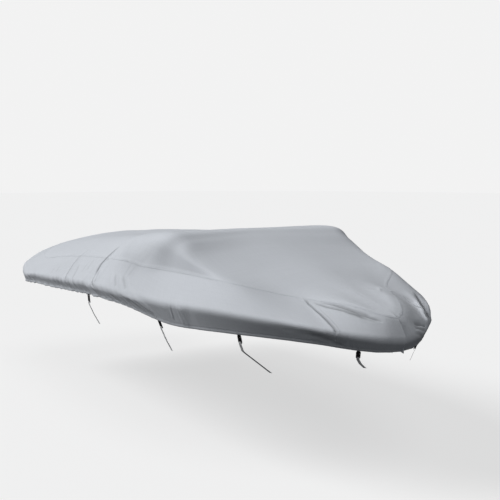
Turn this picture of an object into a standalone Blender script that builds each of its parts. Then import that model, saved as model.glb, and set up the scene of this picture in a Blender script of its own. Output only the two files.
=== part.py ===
"""Fitted woven cover for a V-hull runabout, drawn over the windscreen and down past the gunwales.

Metres. +X points to the bow, +Y to port, +Z up. The origin lies on the underside of the cloth at the
middle of the windscreen top, the point that carries the cover. The cloth is lofted over ribs: each rib
crosses the cover from the hem, over the gunwale edge and the shoulder, to the ridge.
"""

import math

import bmesh
import bpy
import numpy as np
from mathutils import Matrix, Vector

COLLECTION = "runabout_cover"
CUTTERS = "cutters"

# Driving dimensions of the cloth.
CLOTH = 0.002
SEAM_GAP = 0.0006
TRANSOM_TO_TOP = 2.80
TOP_ABOVE_GROUND = 1.567
EDGE_RADIUS = 0.030
SHOULDER_RADIUS_AFT = 0.16
SHOULDER_RADIUS_FORWARD = 0.035
SHOULDER_TIGHTENS = (2.6, 3.2)
TOP_RADIUS = 0.13
RIDGE_RADIUS = 0.22
HEM_TUCK = 0.035
PORT_LEAN = 0.030
LEAN_HEIGHTS = (1.32, 1.52)
LONGEST_BEND_SHARE = 0.45
EDGE_SLOPE_STEP = 0.002
FOLD_STEPS = 25
FOLD_END_FADE = 0.05
FOLD_FADE_POWER = 0.6
SHADED_SHARP_DEGREES = 50

# One row for each rib of the starboard half, from the middle of the transom round to the stem.
# Stations are measured forward from the transom, breadths from the centre line, heights from the
# ground that the trailer stands on. "strips" is how many strips of cloth lie before the next rib.
RIB_COLUMNS = (
    "edge_x", "edge_y", "edge_z", "shoulder_x", "shoulder_y", "shoulder_z",
    "top_x", "top_y", "top_z", "ridge_x", "ridge_z", "skirt", "strips",
)
RIBS = (
    (0.00, 0.00, 1.270, 0.07, 0.00, 1.300, 0.30, 0.00, 1.345, 0.55, 1.375, 0.340, 4),
    (0.00, 0.45, 1.230, 0.08, 0.40, 1.270, 0.33, 0.24, 1.335, 0.62, 1.385, 0.300, 4),
    (0.00, 0.80, 1.135, 0.11, 0.68, 1.205, 0.42, 0.40, 1.320, 0.75, 1.400, 0.240, 4),
    (0.04, 0.96, 1.040, 0.22, 0.80, 1.160, 0.60, 0.48, 1.325, 0.92, 1.420, 0.165, 4),
    (0.18, 1.02, 0.983, 0.42, 0.86, 1.148, 0.80, 0.52, 1.345, 1.10, 1.440, 0.100, 4),
    (0.60, 1.04, 1.004, 0.75, 0.87, 1.183, 1.05, 0.54, 1.375, 1.30, 1.455, 0.095, 6),
    (1.10, 1.06, 1.040, 1.15, 0.87, 1.238, 1.40, 0.57, 1.412, 1.55, 1.470, 0.100, 16),
    (2.00, 1.08, 1.104, 2.00, 0.88, 1.308, 2.10, 0.68, 1.488, 2.15, 1.505, 0.104, 9),
    (2.75, 1.08, 1.122, 2.70, 0.90, 1.335, 2.86, 0.885, 1.583, 2.84, 1.566, 0.110, 7),
    (3.35, 1.01, 1.130, 3.12, 0.84, 1.325, 3.10, 0.83, 1.522, 3.02, 1.540, 0.165, 5),
    (3.75, 0.90, 1.138, 3.44, 0.78, 1.315, 3.32, 0.78, 1.426, 3.24, 1.480, 0.160, 5),
    (4.12, 0.72, 1.116, 3.76, 0.70, 1.300, 3.60, 0.64, 1.337, 3.50, 1.412, 0.135, 5),
    (4.46, 0.46, 1.078, 4.10, 0.36, 1.218, 3.92, 0.29, 1.280, 3.80, 1.345, 0.118, 4),
    (4.58, 0.32, 1.045, 4.38, 0.21, 1.210, 4.14, 0.14, 1.245, 4.02, 1.285, 0.108, 3),
    (4.67, 0.15, 1.015, 4.56, 0.09, 1.160, 4.33, 0.05, 1.212, 4.16, 1.252, 0.095, 3),
    (4.70, 0.00, 0.997, 4.62, 0.00, 1.138, 4.40, 0.00, 1.200, 4.20, 1.240, 0.082, 0),
)
STERN_SEAM_RIB = 3
CROSS_SEAM_RIB = 12
STEM_RIB = 15

# Where a rib crosses from hem to ridge, in spans: skirt 0 to 1, edge bend 1 to 2, side band 2 to 3,
# shoulder bend 3 to 4, rise 4 to 5, top bend 5 to 6, crown 6 to 7, ridge bend 7 to 8.
SKIRT_TO_SEAM = (0.0, 0.5, 1.0, 1.5, 2.0, 2.35, 2.7, 3.0, 3.5)
SEAM_TO_RIDGE = (3.5, 4.0, 5.0, 5.5, 6.0, 7.0, 8.0)
SEAM_COLUMN = len(SKIRT_TO_SEAM) - 1

# Folds that show from a step away. Each runs over the cloth between two places given as rib and span,
# with the half width of the fold and its height, which is negative for a trough.
STARBOARD, PORT = 0, 1
FOLD_COLUMNS = ("side", "rib_a", "span_a", "rib_b", "span_b", "half_width", "height")
FOLDS = (
    (STARBOARD, 6.14, 3.90, 6.45, 1.20, 0.045, -0.016),
    (STARBOARD, 6.00, 3.80, 6.28, 1.40, 0.050, 0.012),
    (STARBOARD, 6.30, 3.80, 6.58, 1.30, 0.045, 0.010),
    (STARBOARD, 7.06, 4.00, 7.10, 1.20, 0.040, -0.016),
    (STARBOARD, 6.90, 3.80, 6.95, 1.20, 0.045, 0.012),
    (STARBOARD, 7.22, 3.90, 7.28, 1.20, 0.045, 0.010),
    (STARBOARD, 12.20, 3.15, 13.50, 2.83, 0.030, -0.006),
    (STARBOARD, 12.35, 3.40, 13.95, 2.97, 0.030, -0.006),
    (STARBOARD, 12.00, 3.30, 12.00, 1.80, 0.045, -0.004),
    (STARBOARD, 8.00, 1.70, 8.70, 0.40, 0.035, 0.006),
    (STARBOARD, 9.10, 1.60, 9.10, 0.20, 0.030, -0.006),
    (STARBOARD, 9.30, 1.60, 9.40, 0.10, 0.030, 0.006),
    (STARBOARD, 9.50, 1.50, 9.60, 0.10, 0.030, -0.005),
    (PORT, 11.60, 2.60, 12.65, 1.80, 0.040, 0.014),
    (PORT, 11.45, 2.20, 12.60, 1.60, 0.035, -0.008),
    (PORT, 12.40, 4.00, 11.85, 2.55, 0.060, 0.010),
    (PORT, 13.80, 2.60, 12.75, 1.30, 0.035, -0.012),
    (PORT, 14.50, 3.00, 14.00, 1.20, 0.045, 0.006),
)

# Webbing tabs, buckles and straps. "drop" and "inward" give the strap's two runs below its buckle.
TAB_WIDTH = 0.020
WEBBING = 0.0016
TAB_ON_CLOTH = 0.030
CLOTH_CLEARANCE = 0.0006
TAB_SEAT_MARGIN = 0.002
RIB_STEP = 0.05
BUCKLE_WIDTH = 0.030
BUCKLE_LENGTH = 0.052
BUCKLE_THICKNESS = 0.009
BUCKLE_BAR = 0.005
BUCKLE_SLOT = 0.0075
BUCKLE_ROUNDING = 0.0025
SLOT_WIDER_THAN_TAB = 0.003
CUTTER_DEPTH = 0.03
BUCKLE_BELOW_HEM = 0.016
BAR_CLEARANCE = 0.0004
TAB_TAIL_BELOW_HEM = 0.004
STRAP_TAIL = 0.012
STRAP_WIDTH = 0.020
TAIL_LIES_BACK = 0.6
STRAP_BEND_SHARE = 0.1
SKIRT_UNDER_TAB = (0.0, 0.2, 0.4)
TIE_COLUMNS = ("rib", "drop_a", "inward_a", "drop_b", "inward_b", "forward_b")
TIES = (
    (6.95, 0.100, 0.045, 0.085, 0.045, 0.010),
    (8.70, 0.090, 0.040, 0.080, 0.040, 0.010),
    (10.50, 0.050, 0.020, 0.160, 0.185, 0.060),
    (13.10, 0.030, 0.020, 0.030, 0.030, 0.010),
)

# Colour, roughness and metallic value of each material.
MATERIALS = {
    "cloth_top": ((0.560, 0.585, 0.625), 0.80, 0.0),
    "cloth_side": ((0.545, 0.570, 0.610), 0.80, 0.0),
    "cloth_bow": ((0.530, 0.555, 0.595), 0.80, 0.0),
    "cloth_transom": ((0.520, 0.545, 0.585), 0.80, 0.0),
    "black_webbing": ((0.012, 0.012, 0.013), 0.75, 0.0),
    "black_plastic": ((0.010, 0.010, 0.011), 0.38, 0.0),
    "grey_webbing": ((0.600, 0.610, 0.620), 0.70, 0.0),
}


def table(rows, columns):
    """The named columns of a table, each as an array."""
    return {name: np.array([row[i] for row in rows], float) for i, name in enumerate(columns)}


def smooth(at, known, values):
    """Cubic curve through the values, with slopes taken from their neighbours."""
    slopes = np.gradient(values, known, axis=0)
    step = np.clip(np.searchsorted(known, at, side="right") - 1, 0, len(known) - 2)
    width = known[step + 1] - known[step]
    share = ((at - known[step]) / width)[:, None]
    width = width[:, None]
    leaving, arriving = slopes[step] * width, slopes[step + 1] * width
    return (
        values[step] * (1 + 2 * share) * (1 - share) ** 2
        + leaving * share * (1 - share) ** 2
        + values[step + 1] * share**2 * (3 - 2 * share)
        + arriving * share**2 * (share - 1)
    )


def unit(vectors):
    """The vectors at unit length."""
    return vectors / np.maximum(np.linalg.norm(vectors, axis=-1, keepdims=True), 1e-12)


def arc(before, corner, after, share):
    """Point on the rounded corner between two straight runs."""
    return before * (1 - share) ** 2 + 2 * corner * share * (1 - share) + after * share**2


def toward(start, end, length):
    """The points that lie a length from the starts, or less where the run is short."""
    reach = np.linalg.norm(end - start, axis=1, keepdims=True)
    return start + (end - start) * np.minimum(length / np.maximum(reach, 1e-9), LONGEST_BEND_SHARE)


def guides(rib_numbers):
    """Edge, shoulder, top and ridge guide lines and the skirt's depth, at the given rib numbers."""
    ribs = table(RIBS, RIB_COLUMNS)
    edge = np.stack([ribs["edge_x"], ribs["edge_y"], ribs["edge_z"]], 1)
    shoulder = np.stack([ribs["shoulder_x"], ribs["shoulder_y"], ribs["shoulder_z"]], 1)
    top = np.stack([ribs["top_x"], ribs["top_y"], ribs["top_z"]], 1)
    ridge = np.stack([ribs["ridge_x"], 0 * ribs["ridge_x"], ribs["ridge_z"]], 1)
    along = np.concatenate([[0], np.cumsum(np.linalg.norm(np.diff(edge, axis=0), axis=1))])
    at = np.interp(rib_numbers, np.arange(len(RIBS)), along)
    lines = [smooth(at, along, guide) for guide in (edge, shoulder, top, ridge)]
    just_after = smooth(np.minimum(at + EDGE_SLOPE_STEP, along[-1]), along, edge)
    just_before = smooth(np.maximum(at - EDGE_SLOPE_STEP, 0), along, edge)
    on_centre = (rib_numbers <= 0) | (rib_numbers >= STEM_RIB)
    for line in lines:
        line[on_centre, 1] = 0.0
    run = unit(just_after - just_before)
    outward = unit(np.stack([-run[:, 1], run[:, 0], 0 * at], 1))
    outward[on_centre, 1] = 0.0
    skirt = smooth(at, along, ribs["skirt"][:, None])
    return lines, unit(outward), skirt


def bare_cloth(rib_numbers, spans, side):
    """Grid of points on one half of the cover before it is folded: ribs by spans."""
    (edge, shoulder, top, ridge), outward, skirt = guides(rib_numbers)
    tighten = np.clip((edge[:, :1] - SHOULDER_TIGHTENS[0]) / np.ptp(SHOULDER_TIGHTENS), 0, 1)
    bend = SHOULDER_RADIUS_AFT + (SHOULDER_RADIUS_FORWARD - SHOULDER_RADIUS_AFT) * tighten
    hem = edge - outward * HEM_TUCK - skirt * np.array([0, 0, 1])
    over_ridge = top * np.array([1, -1, 1])
    edge_low, edge_high = toward(edge, hem, EDGE_RADIUS), toward(edge, shoulder, EDGE_RADIUS)
    shoulder_low, shoulder_high = toward(shoulder, edge, bend), toward(shoulder, top, bend)
    top_low, top_high = toward(top, shoulder, TOP_RADIUS), toward(top, ridge, TOP_RADIUS)
    ridge_low = toward(ridge, top, RIDGE_RADIUS)
    ridge_over = toward(ridge, over_ridge, RIDGE_RADIUS)
    spans_of_rib = (
        lambda share: hem + (edge_low - hem) * share,
        lambda share: arc(edge_low, edge, edge_high, share),
        lambda share: edge_high + (shoulder_low - edge_high) * share,
        lambda share: arc(shoulder_low, shoulder, shoulder_high, share),
        lambda share: shoulder_high + (top_low - shoulder_high) * share,
        lambda share: arc(top_low, top, top_high, share),
        lambda share: top_high + (ridge_low - top_high) * share,
        lambda share: arc(ridge_low, ridge, ridge_over, share / 2),
    )
    columns = []
    for span in spans:
        step = min(int(span), len(spans_of_rib) - 1)
        columns.append(spans_of_rib[step](span - step))
    grid = np.stack(columns, 1)
    if side == PORT:
        raised = np.clip((grid[..., 2] - LEAN_HEIGHTS[0]) / np.ptp(LEAN_HEIGHTS), 0, 1)
        grid[..., 2] -= PORT_LEAN * grid[..., 1] * raised
    else:
        grid[..., 1] *= -1
    return grid - np.array([TRANSOM_TO_TOP, 0, TOP_ABOVE_GROUND])


def face_normals(starboard, port):
    """Outward unit normals of both halves, alike along the centre line that they share."""
    normals = []
    for grid, sign in ((starboard, 1), (port, -1)):
        across, along = np.gradient(grid, axis=1), np.gradient(grid, axis=0)
        normals.append(unit(np.cross(along, across)) * sign)
    for shared in (np.s_[0, :], np.s_[-1, :], np.s_[:, -1]):
        both = unit(normals[0][shared] + normals[1][shared])
        normals[0][shared] = normals[1][shared] = both
    return normals


def fold_height(points, side):
    """How far each point is lifted by the folds on its side."""
    lift = np.zeros(points.shape[:-1])
    share = np.linspace(0, 1, FOLD_STEPS)
    for row in FOLDS:
        fold = dict(zip(FOLD_COLUMNS, row))
        if fold["side"] != side:
            continue
        ribs = fold["rib_a"] + (fold["rib_b"] - fold["rib_a"]) * share
        spans = fold["span_a"] + (fold["span_b"] - fold["span_a"]) * share
        trace = [bare_cloth(np.array([rib]), (span,), side)[0, 0] for rib, span in zip(ribs, spans)]
        away = np.linalg.norm(points[..., None, :] - np.array(trace), axis=-1)
        nearest = share[away.argmin(-1)]
        fade = np.sin(np.pi * (FOLD_END_FADE + nearest * (1 - 2 * FOLD_END_FADE))) ** FOLD_FADE_POWER
        lift += fold["height"] * fade * np.exp(-((away.min(-1) / fold["half_width"]) ** 2))
    return lift


def cloth_faces():
    """Outer and inner grids of both halves, with the rib number of each row."""
    strips = [row[-1] for row in RIBS[:-1]]
    rib_numbers = np.concatenate([i + np.arange(n) / n for i, n in enumerate(strips)] + [[STEM_RIB]])
    spans = SKIRT_TO_SEAM + SEAM_TO_RIDGE[1:]
    bare = [bare_cloth(rib_numbers, spans, side) for side in (STARBOARD, PORT)]
    normals = face_normals(*bare)
    lifts = [fold_height(grid, side) for side, grid in enumerate(bare)]
    for shared in (np.s_[0, :], np.s_[-1, :], np.s_[:, -1]):
        both = (lifts[0][shared] + lifts[1][shared]) / 2
        lifts[0][shared] = lifts[1][shared] = both
    outer = [grid + normal * lift[..., None] for grid, normal, lift in zip(bare, normals, lifts)]
    normals = face_normals(*outer)
    inner = [grid - normal * CLOTH for grid, normal in zip(outer, normals)]
    return rib_numbers, outer, inner


def square_to(seam, beyond):
    """Unit directions from the points of a seam to the points beyond it, square to the seam."""
    run = unit(np.gradient(seam, axis=0))
    across = beyond - seam
    return unit(across - run * (across * run).sum(-1, keepdims=True))


def drawn_in(grid, first_row, last_row, first_column, last_column):
    """The grid with the named edges moved in by half the seam gap."""
    moved = grid.copy()
    half = SEAM_GAP / 2
    if first_row:
        moved[0] += square_to(grid[0], grid[1]) * half
    if last_row:
        moved[-1] += square_to(grid[-1], grid[-2]) * half
    if first_column:
        moved[:, 0] += square_to(grid[:, 0], grid[:, 1]) * half
    if last_column:
        moved[:, -1] += square_to(grid[:, -1], grid[:, -2]) * half
    if first_column and last_column:
        for centre_row in (0, -1):
            moved[centre_row, 0] = moved[centre_row, -1] = moved[centre_row, [0, -1]].mean(0)
    return moved


def material(name):
    """A Principled material with the values of its row."""
    colour, roughness, metallic = MATERIALS[name]
    made = bpy.data.materials.get(name) or bpy.data.materials.new(name)
    made.use_nodes = True
    shader = made.node_tree.nodes["Principled BSDF"]
    shader.inputs["Base Color"].default_value = (*colour, 1.0)
    shader.inputs["Roughness"].default_value = roughness
    shader.inputs["Metallic"].default_value = metallic
    made.diffuse_color = (*colour, 1.0)
    return made


def place(name, mesh, finish):
    """A new object of the part, with its material."""
    made = bpy.data.objects.new(name, mesh)
    if not mesh.materials:
        mesh.materials.append(material(finish))
    bpy.data.collections[COLLECTION].objects.link(made)
    return made


def sheet(name, outer, inner, finish, folded_ends=False):
    """A closed sheet of cloth between two like grids. Folded ends meet along the centre line."""
    rows, columns = outer.shape[:2]
    points = np.concatenate([outer.reshape(-1, 3), inner.reshape(-1, 3)])

    def index(row, column, layer):
        return layer * rows * columns + row * columns + column

    faces = []
    for row in range(rows - 1):
        for column in range(columns - 1):
            corners = [(row, column), (row + 1, column), (row + 1, column + 1), (row, column + 1)]
            ends = [outer[corner] for corner in corners]
            falling = np.linalg.norm(ends[2] - ends[0]) <= np.linalg.norm(ends[3] - ends[1])
            halves = ((0, 1, 2), (0, 2, 3)) if falling else ((0, 1, 3), (1, 2, 3))
            for half in halves:
                faces.append([index(*corners[i], 0) for i in half])
                faces.append([index(*corners[i], 1) for i in reversed(half)])
    rim = []
    for column in (0, columns - 1):
        line = [(row, column) for row in range(rows)]
        rim.append(line if column == 0 else line[::-1])
    if not folded_ends:
        for row in (0, rows - 1):
            line = [(row, column) for column in range(columns)]
            rim.append(line[::-1] if row == 0 else line)
    for line in rim:
        for here, following in zip(line, line[1:]):
            a, b, c, d = index(*here, 0), index(*following, 0), index(*following, 1), index(*here, 1)
            faces += [[b, a, d], [b, d, c]]
    mesh = bpy.data.meshes.new(name)
    mesh.from_pydata([tuple(point) for point in points], [], faces)
    work = bmesh.new()
    work.from_mesh(mesh)
    bmesh.ops.remove_doubles(work, verts=work.verts, dist=1e-5)
    bmesh.ops.dissolve_degenerate(work, edges=work.edges, dist=1e-6)
    bmesh.ops.recalc_face_normals(work, faces=work.faces)
    work.to_mesh(mesh)
    work.free()
    mesh.shade_smooth()
    mesh.set_sharp_from_angle(angle=math.radians(SHADED_SHARP_DEGREES))
    return place(name, mesh, finish)


def make_panels(rib_numbers, outer, inner):
    """The six cut panels of the cover."""
    seam = SEAM_COLUMN
    row_of = {rib: int(np.argmin(abs(rib_numbers - rib))) for rib in (STERN_SEAM_RIB, CROSS_SEAM_RIB)}
    stern, cross = row_of[STERN_SEAM_RIB], row_of[CROSS_SEAM_RIB]
    across = [
        np.concatenate([layer[STARBOARD][:, seam:], layer[PORT][:, -2:seam - 1:-1]], 1)
        for layer in (outer, inner)
    ]
    top = [drawn_in(grid, False, False, True, True) for grid in across]
    sheet("centre_panel", *top, "cloth_top", folded_ends=True)
    for side, word in ((STARBOARD, "starboard"), (PORT, "port")):
        runs = {
            f"side_panel_{word}": (slice(stern, cross + 1), "cloth_side"),
            f"bow_panel_{word}": (slice(cross, None), "cloth_bow"),
        }
        for name, (rows, finish) in runs.items():
            faces = [layer[side][rows, :seam + 1] for layer in (outer, inner)]
            sheet(name, *[drawn_in(grid, True, True, False, True) for grid in faces], finish)
    round_stern = [
        np.concatenate([layer[PORT][stern:0:-1, :seam + 1], layer[STARBOARD][:stern + 1, :seam + 1]], 0)
        for layer in (outer, inner)
    ]
    faces = [drawn_in(grid, True, True, False, True) for grid in round_stern]
    sheet("transom_panel", *faces, "cloth_transom")


def boxed(name, size, centre):
    """A box mesh of the given size."""
    mesh = bpy.data.meshes.new(name)
    work = bmesh.new()
    bmesh.ops.create_cube(work, size=1.0)
    bmesh.ops.scale(work, vec=size, verts=work.verts)
    bmesh.ops.translate(work, vec=centre, verts=work.verts)
    work.to_mesh(mesh)
    work.free()
    return mesh


def buckle_mesh():
    """The moulded buckle: rounded body with a slot for the tab and one for the strap. +Y is up it."""
    block = boxed("buckle", (BUCKLE_WIDTH, BUCKLE_LENGTH, BUCKLE_THICKNESS), (0, 0, 0))
    body = bpy.data.objects.new("buckle_body", block)
    bpy.data.collections[CUTTERS].objects.link(body)
    rounding = body.modifiers.new("rounding", "BEVEL")
    rounding.width = BUCKLE_ROUNDING
    rounding.segments = 2
    slot_y = BUCKLE_LENGTH / 2 - BUCKLE_BAR - BUCKLE_SLOT / 2
    slot_size = (TAB_WIDTH + SLOT_WIDER_THAN_TAB, BUCKLE_SLOT, CUTTER_DEPTH)
    for end in (-1, 1):
        cutter = bpy.data.objects.new(f"slot_{end}", boxed("slot", slot_size, (0, end * slot_y, 0)))
        bpy.data.collections[CUTTERS].objects.link(cutter)
        cutter.hide_render = True
        cutter.display_type = "WIRE"
        cut = body.modifiers.new(f"slot_{end}", "BOOLEAN")
        cut.operation = "DIFFERENCE"
        cut.solver = "EXACT"
        cut.object = cutter
    body.hide_render = True
    body.display_type = "WIRE"
    bpy.context.view_layer.update()
    graph = bpy.context.evaluated_depsgraph_get()
    return bpy.data.meshes.new_from_object(body.evaluated_get(graph))


def ribbon(name, path, width, along, finish):
    """A closed webbing strip whose middle follows the path, with its width along one direction."""
    path = np.array(path)
    run = unit(np.gradient(path, axis=0))
    face = unit(np.cross(run, along))
    across = np.array([-width / 2, width / 2])[:, None] * along
    outer = path[:, None] + face[:, None] * WEBBING / 2 + across[None]
    inner = path[:, None] - face[:, None] * WEBBING / 2 + across[None]
    return sheet(name, outer, inner, finish)


def on_face(face, rib_numbers, rib, span):
    """The point of a face of the sewn cloth at a rib number and a span of the skirt."""
    row = np.interp(rib, rib_numbers, np.arange(len(rib_numbers)))
    column = np.interp(span, SKIRT_TO_SEAM, np.arange(len(SKIRT_TO_SEAM)))
    low_row, low_column = int(row), int(column)
    along, across = row - low_row, column - low_column
    near = face[low_row:low_row + 2, low_column:low_column + 2]
    line = near[0] * (1 - along) + near[1] * along
    return line[0] * (1 - across) + line[1] * across


def hem_frame(face, rib_numbers, rib, side):
    """Where a tab hangs: a point inside the hem and the directions down, along the hem and outward."""
    hem = on_face(face, rib_numbers, rib, 0.0)
    down = unit(hem - on_face(face, rib_numbers, rib, SKIRT_UNDER_TAB[-1]))
    ends = [on_face(face, rib_numbers, rib + step, 0.0) for step in (-RIB_STEP, RIB_STEP)]
    reach = RIB_STEP * (TAB_WIDTH + 2 * TAB_SEAT_MARGIN) / np.linalg.norm(ends[1] - ends[0])
    outward = unit(np.cross(down, ends[1] - ends[0]))
    if outward[1] * (1 if side == PORT else -1) < 0:
        outward = -outward
    along = unit(np.cross(outward, down))
    under_tab = [
        on_face(face, rib_numbers, rib + step, span)
        for step in np.linspace(-reach, reach, 9) for span in SKIRT_UNDER_TAB
    ]
    sunk = min((point - hem) @ outward for point in under_tab)
    return hem + outward * sunk, down, along, outward


def make_tie(face, rib_numbers, number, row, side, word, buckle):
    """One tab, its buckle and its strap."""
    tie = dict(zip(TIE_COLUMNS, row))
    hem, down, along, outward = hem_frame(face, rib_numbers, tie["rib"], side)
    on_cloth = -CLOTH_CLEARANCE - WEBBING / 2
    beside_bar = BUCKLE_THICKNESS / 2 + BAR_CLEARANCE + WEBBING / 2
    past_bar = BUCKLE_BAR / 2 + BAR_CLEARANCE + WEBBING / 2
    middle = on_cloth - beside_bar
    upper_bar = BUCKLE_BELOW_HEM + BUCKLE_BAR / 2
    lower_bar = BUCKLE_BELOW_HEM + BUCKLE_LENGTH - BUCKLE_BAR / 2

    def at(below, out):
        return hem + down * below + outward * (middle + out)

    def round_bar(bar, way):
        """The turn of the webbing round a bar, from its outer face to its inner one."""
        cut = WEBBING / 2
        corner = [(past_bar - cut, beside_bar), (past_bar, beside_bar - cut)]
        corner += [(below, -out) for below, out in corner[::-1]]
        return [at(bar + way * below, out) for below, out in corner]

    tab = [at(-TAB_ON_CLOTH, beside_bar), at(-TAB_ON_CLOTH / 2, beside_bar), at(0.0, beside_bar)]
    tab += [at(upper_bar - past_bar, beside_bar)]
    tab += round_bar(upper_bar, 1)
    tab += [at(upper_bar - past_bar, -beside_bar), at(TAB_TAIL_BELOW_HEM, -beside_bar * TAIL_LIES_BACK)]
    ribbon(f"tab_{word}_{number}", tab, TAB_WIDTH, along, "black_webbing")
    clasp = place(f"buckle_{word}_{number}", buckle, "black_plastic")
    turned = Matrix((Vector(along), Vector(-down), Vector(np.cross(along, -down)))).transposed()
    centre = at(BUCKLE_BELOW_HEM + BUCKLE_LENGTH / 2, 0)
    clasp.matrix_world = Matrix.Translation(Vector(centre)) @ turned.to_4x4()
    strap = [at(lower_bar + STRAP_TAIL, -beside_bar * TAIL_LIES_BACK), at(lower_bar + past_bar, -beside_bar)]
    strap += round_bar(lower_bar, -1)[::-1]
    strap += [at(lower_bar + past_bar, beside_bar), at(lower_bar + STRAP_TAIL, beside_bar)]
    last = strap[-1]
    inward = np.array([0, -1 if side == PORT else 1, 0])
    bend = last + inward * tie["inward_a"] - np.array([0, 0, tie["drop_a"]])
    end = bend + inward * tie["inward_b"] - np.array([-tie["forward_b"], 0, tie["drop_b"]])
    strap += [last + (bend - last) * share for share in (0.35, 0.7)]
    before, after = bend + (last - bend) * STRAP_BEND_SHARE, bend + (end - bend) * STRAP_BEND_SHARE
    strap += [arc(before, bend, after, share) for share in (0, 0.5, 1)]
    strap += [bend + (end - bend) * share for share in (0.4, 0.7, 1.0)]
    ribbon(f"strap_{word}_{number}", strap, STRAP_WIDTH, along, "grey_webbing")


def main():
    """Builds the whole cover."""
    for left_over in list(bpy.data.objects):
        bpy.data.objects.remove(left_over, do_unlink=True)
    for name in (COLLECTION, CUTTERS):
        bpy.context.scene.collection.children.link(bpy.data.collections.new(name))
    bpy.data.collections[CUTTERS].hide_render = True
    rib_numbers, outer, inner = cloth_faces()
    make_panels(rib_numbers, outer, inner)
    buckle = buckle_mesh()
    for side, word in ((STARBOARD, "starboard"), (PORT, "port")):
        for number, row in enumerate(TIES, 1):
            make_tie(inner[side], rib_numbers, number, row, side, word, buckle)


main()
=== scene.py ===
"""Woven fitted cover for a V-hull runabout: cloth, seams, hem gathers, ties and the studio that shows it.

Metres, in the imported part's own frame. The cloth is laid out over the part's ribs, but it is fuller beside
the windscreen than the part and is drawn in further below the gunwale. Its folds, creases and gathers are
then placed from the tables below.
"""

import math

import bpy
import numpy as np
from mathutils import Matrix, Vector


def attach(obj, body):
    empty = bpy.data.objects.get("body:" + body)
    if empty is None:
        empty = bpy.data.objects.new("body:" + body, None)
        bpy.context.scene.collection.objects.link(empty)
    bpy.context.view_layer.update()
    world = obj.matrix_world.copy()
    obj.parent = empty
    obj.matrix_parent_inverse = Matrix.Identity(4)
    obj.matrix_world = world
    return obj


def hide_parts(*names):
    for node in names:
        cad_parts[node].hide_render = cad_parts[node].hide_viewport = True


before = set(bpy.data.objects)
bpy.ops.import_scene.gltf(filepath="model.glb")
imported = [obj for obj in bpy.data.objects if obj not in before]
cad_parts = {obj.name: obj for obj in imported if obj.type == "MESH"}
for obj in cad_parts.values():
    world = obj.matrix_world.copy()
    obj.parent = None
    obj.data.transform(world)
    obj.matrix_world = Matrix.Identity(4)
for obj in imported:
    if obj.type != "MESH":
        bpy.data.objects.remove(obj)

bl_info = {
    "name": "Runabout Cover",
    "version": (1, 0, 0),
    "blender": (4, 5, 0),
    "location": "View3D > Sidebar > Cover",
    "description": "Sews a fitted woven boat cover over its ribs, with seams, gathered hem and ties",
    "category": "Object",
}

STARBOARD, PORT = 0, 1
SIDES = ((STARBOARD, "starboard"), (PORT, "port"))

# The driving sizes and ribs of the part. Only here, the two ribs at x 2.75 and 3.35 are fuller and the port
# shoulder bends wider.
TRANSOM_TO_TOP = 2.80
TOP_ABOVE_GROUND = 1.567
EDGE_RADIUS = 0.030
SHOULDER_RADIUS_AFT = 0.16
SHOULDER_RADIUS_FORWARD = (0.035, 0.12)
SHOULDER_TIGHTENS = (2.6, 3.2)
TOP_RADIUS = 0.13
RIDGE_RADIUS = 0.22
HEM_TUCK = 0.035
PORT_LEAN = 0.030
LEAN_HEIGHTS = (1.32, 1.52)
LONGEST_BEND_SHARE = 0.45
EDGE_SLOPE_STEP = 0.002
STERN_SEAM_RIB = 3
CROSS_SEAM_RIB = 12
STEM_RIB = 15
SEAM_SPAN = 3.5
RIDGE_SPAN = 8.0
RIB_COLUMNS = (
    "edge_x", "edge_y", "edge_z", "shoulder_x", "shoulder_y", "shoulder_z",
    "top_x", "top_y", "top_z", "ridge_x", "ridge_z", "skirt",
)
RIBS = (
    (0.00, 0.00, 1.270, 0.07, 0.00, 1.300, 0.30, 0.00, 1.345, 0.55, 1.375, 0.340),
    (0.00, 0.45, 1.230, 0.08, 0.40, 1.270, 0.33, 0.24, 1.335, 0.62, 1.385, 0.300),
    (0.00, 0.80, 1.135, 0.11, 0.68, 1.205, 0.42, 0.40, 1.320, 0.75, 1.400, 0.240),
    (0.04, 0.96, 1.040, 0.22, 0.80, 1.160, 0.60, 0.48, 1.325, 0.92, 1.420, 0.165),
    (0.18, 1.02, 0.983, 0.42, 0.86, 1.148, 0.80, 0.52, 1.345, 1.10, 1.440, 0.100),
    (0.60, 1.04, 1.004, 0.75, 0.87, 1.183, 1.05, 0.54, 1.375, 1.30, 1.455, 0.095),
    (1.10, 1.06, 1.040, 1.15, 0.87, 1.238, 1.40, 0.57, 1.412, 1.55, 1.470, 0.100),
    (2.00, 1.08, 1.104, 2.00, 0.88, 1.308, 2.10, 0.68, 1.488, 2.15, 1.505, 0.104),
    (2.75, 1.08, 1.122, 2.78, 0.950, 1.340, 2.94, 0.835, 1.590, 2.84, 1.566, 0.110),
    (3.35, 1.01, 1.130, 3.15, 0.855, 1.328, 3.15, 0.800, 1.528, 3.02, 1.540, 0.165),
    (3.75, 0.90, 1.138, 3.44, 0.78, 1.315, 3.32, 0.78, 1.426, 3.24, 1.480, 0.160),
    (4.12, 0.72, 1.116, 3.76, 0.70, 1.300, 3.60, 0.64, 1.337, 3.50, 1.412, 0.135),
    (4.46, 0.46, 1.078, 4.10, 0.36, 1.218, 3.92, 0.29, 1.280, 3.80, 1.345, 0.118),
    (4.58, 0.32, 1.045, 4.38, 0.21, 1.210, 4.14, 0.14, 1.245, 4.02, 1.285, 0.108),
    (4.67, 0.15, 1.015, 4.56, 0.09, 1.160, 4.33, 0.05, 1.212, 4.16, 1.252, 0.095),
    (4.70, 0.00, 0.997, 4.62, 0.00, 1.138, 4.40, 0.00, 1.200, 4.20, 1.240, 0.082),
)

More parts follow.
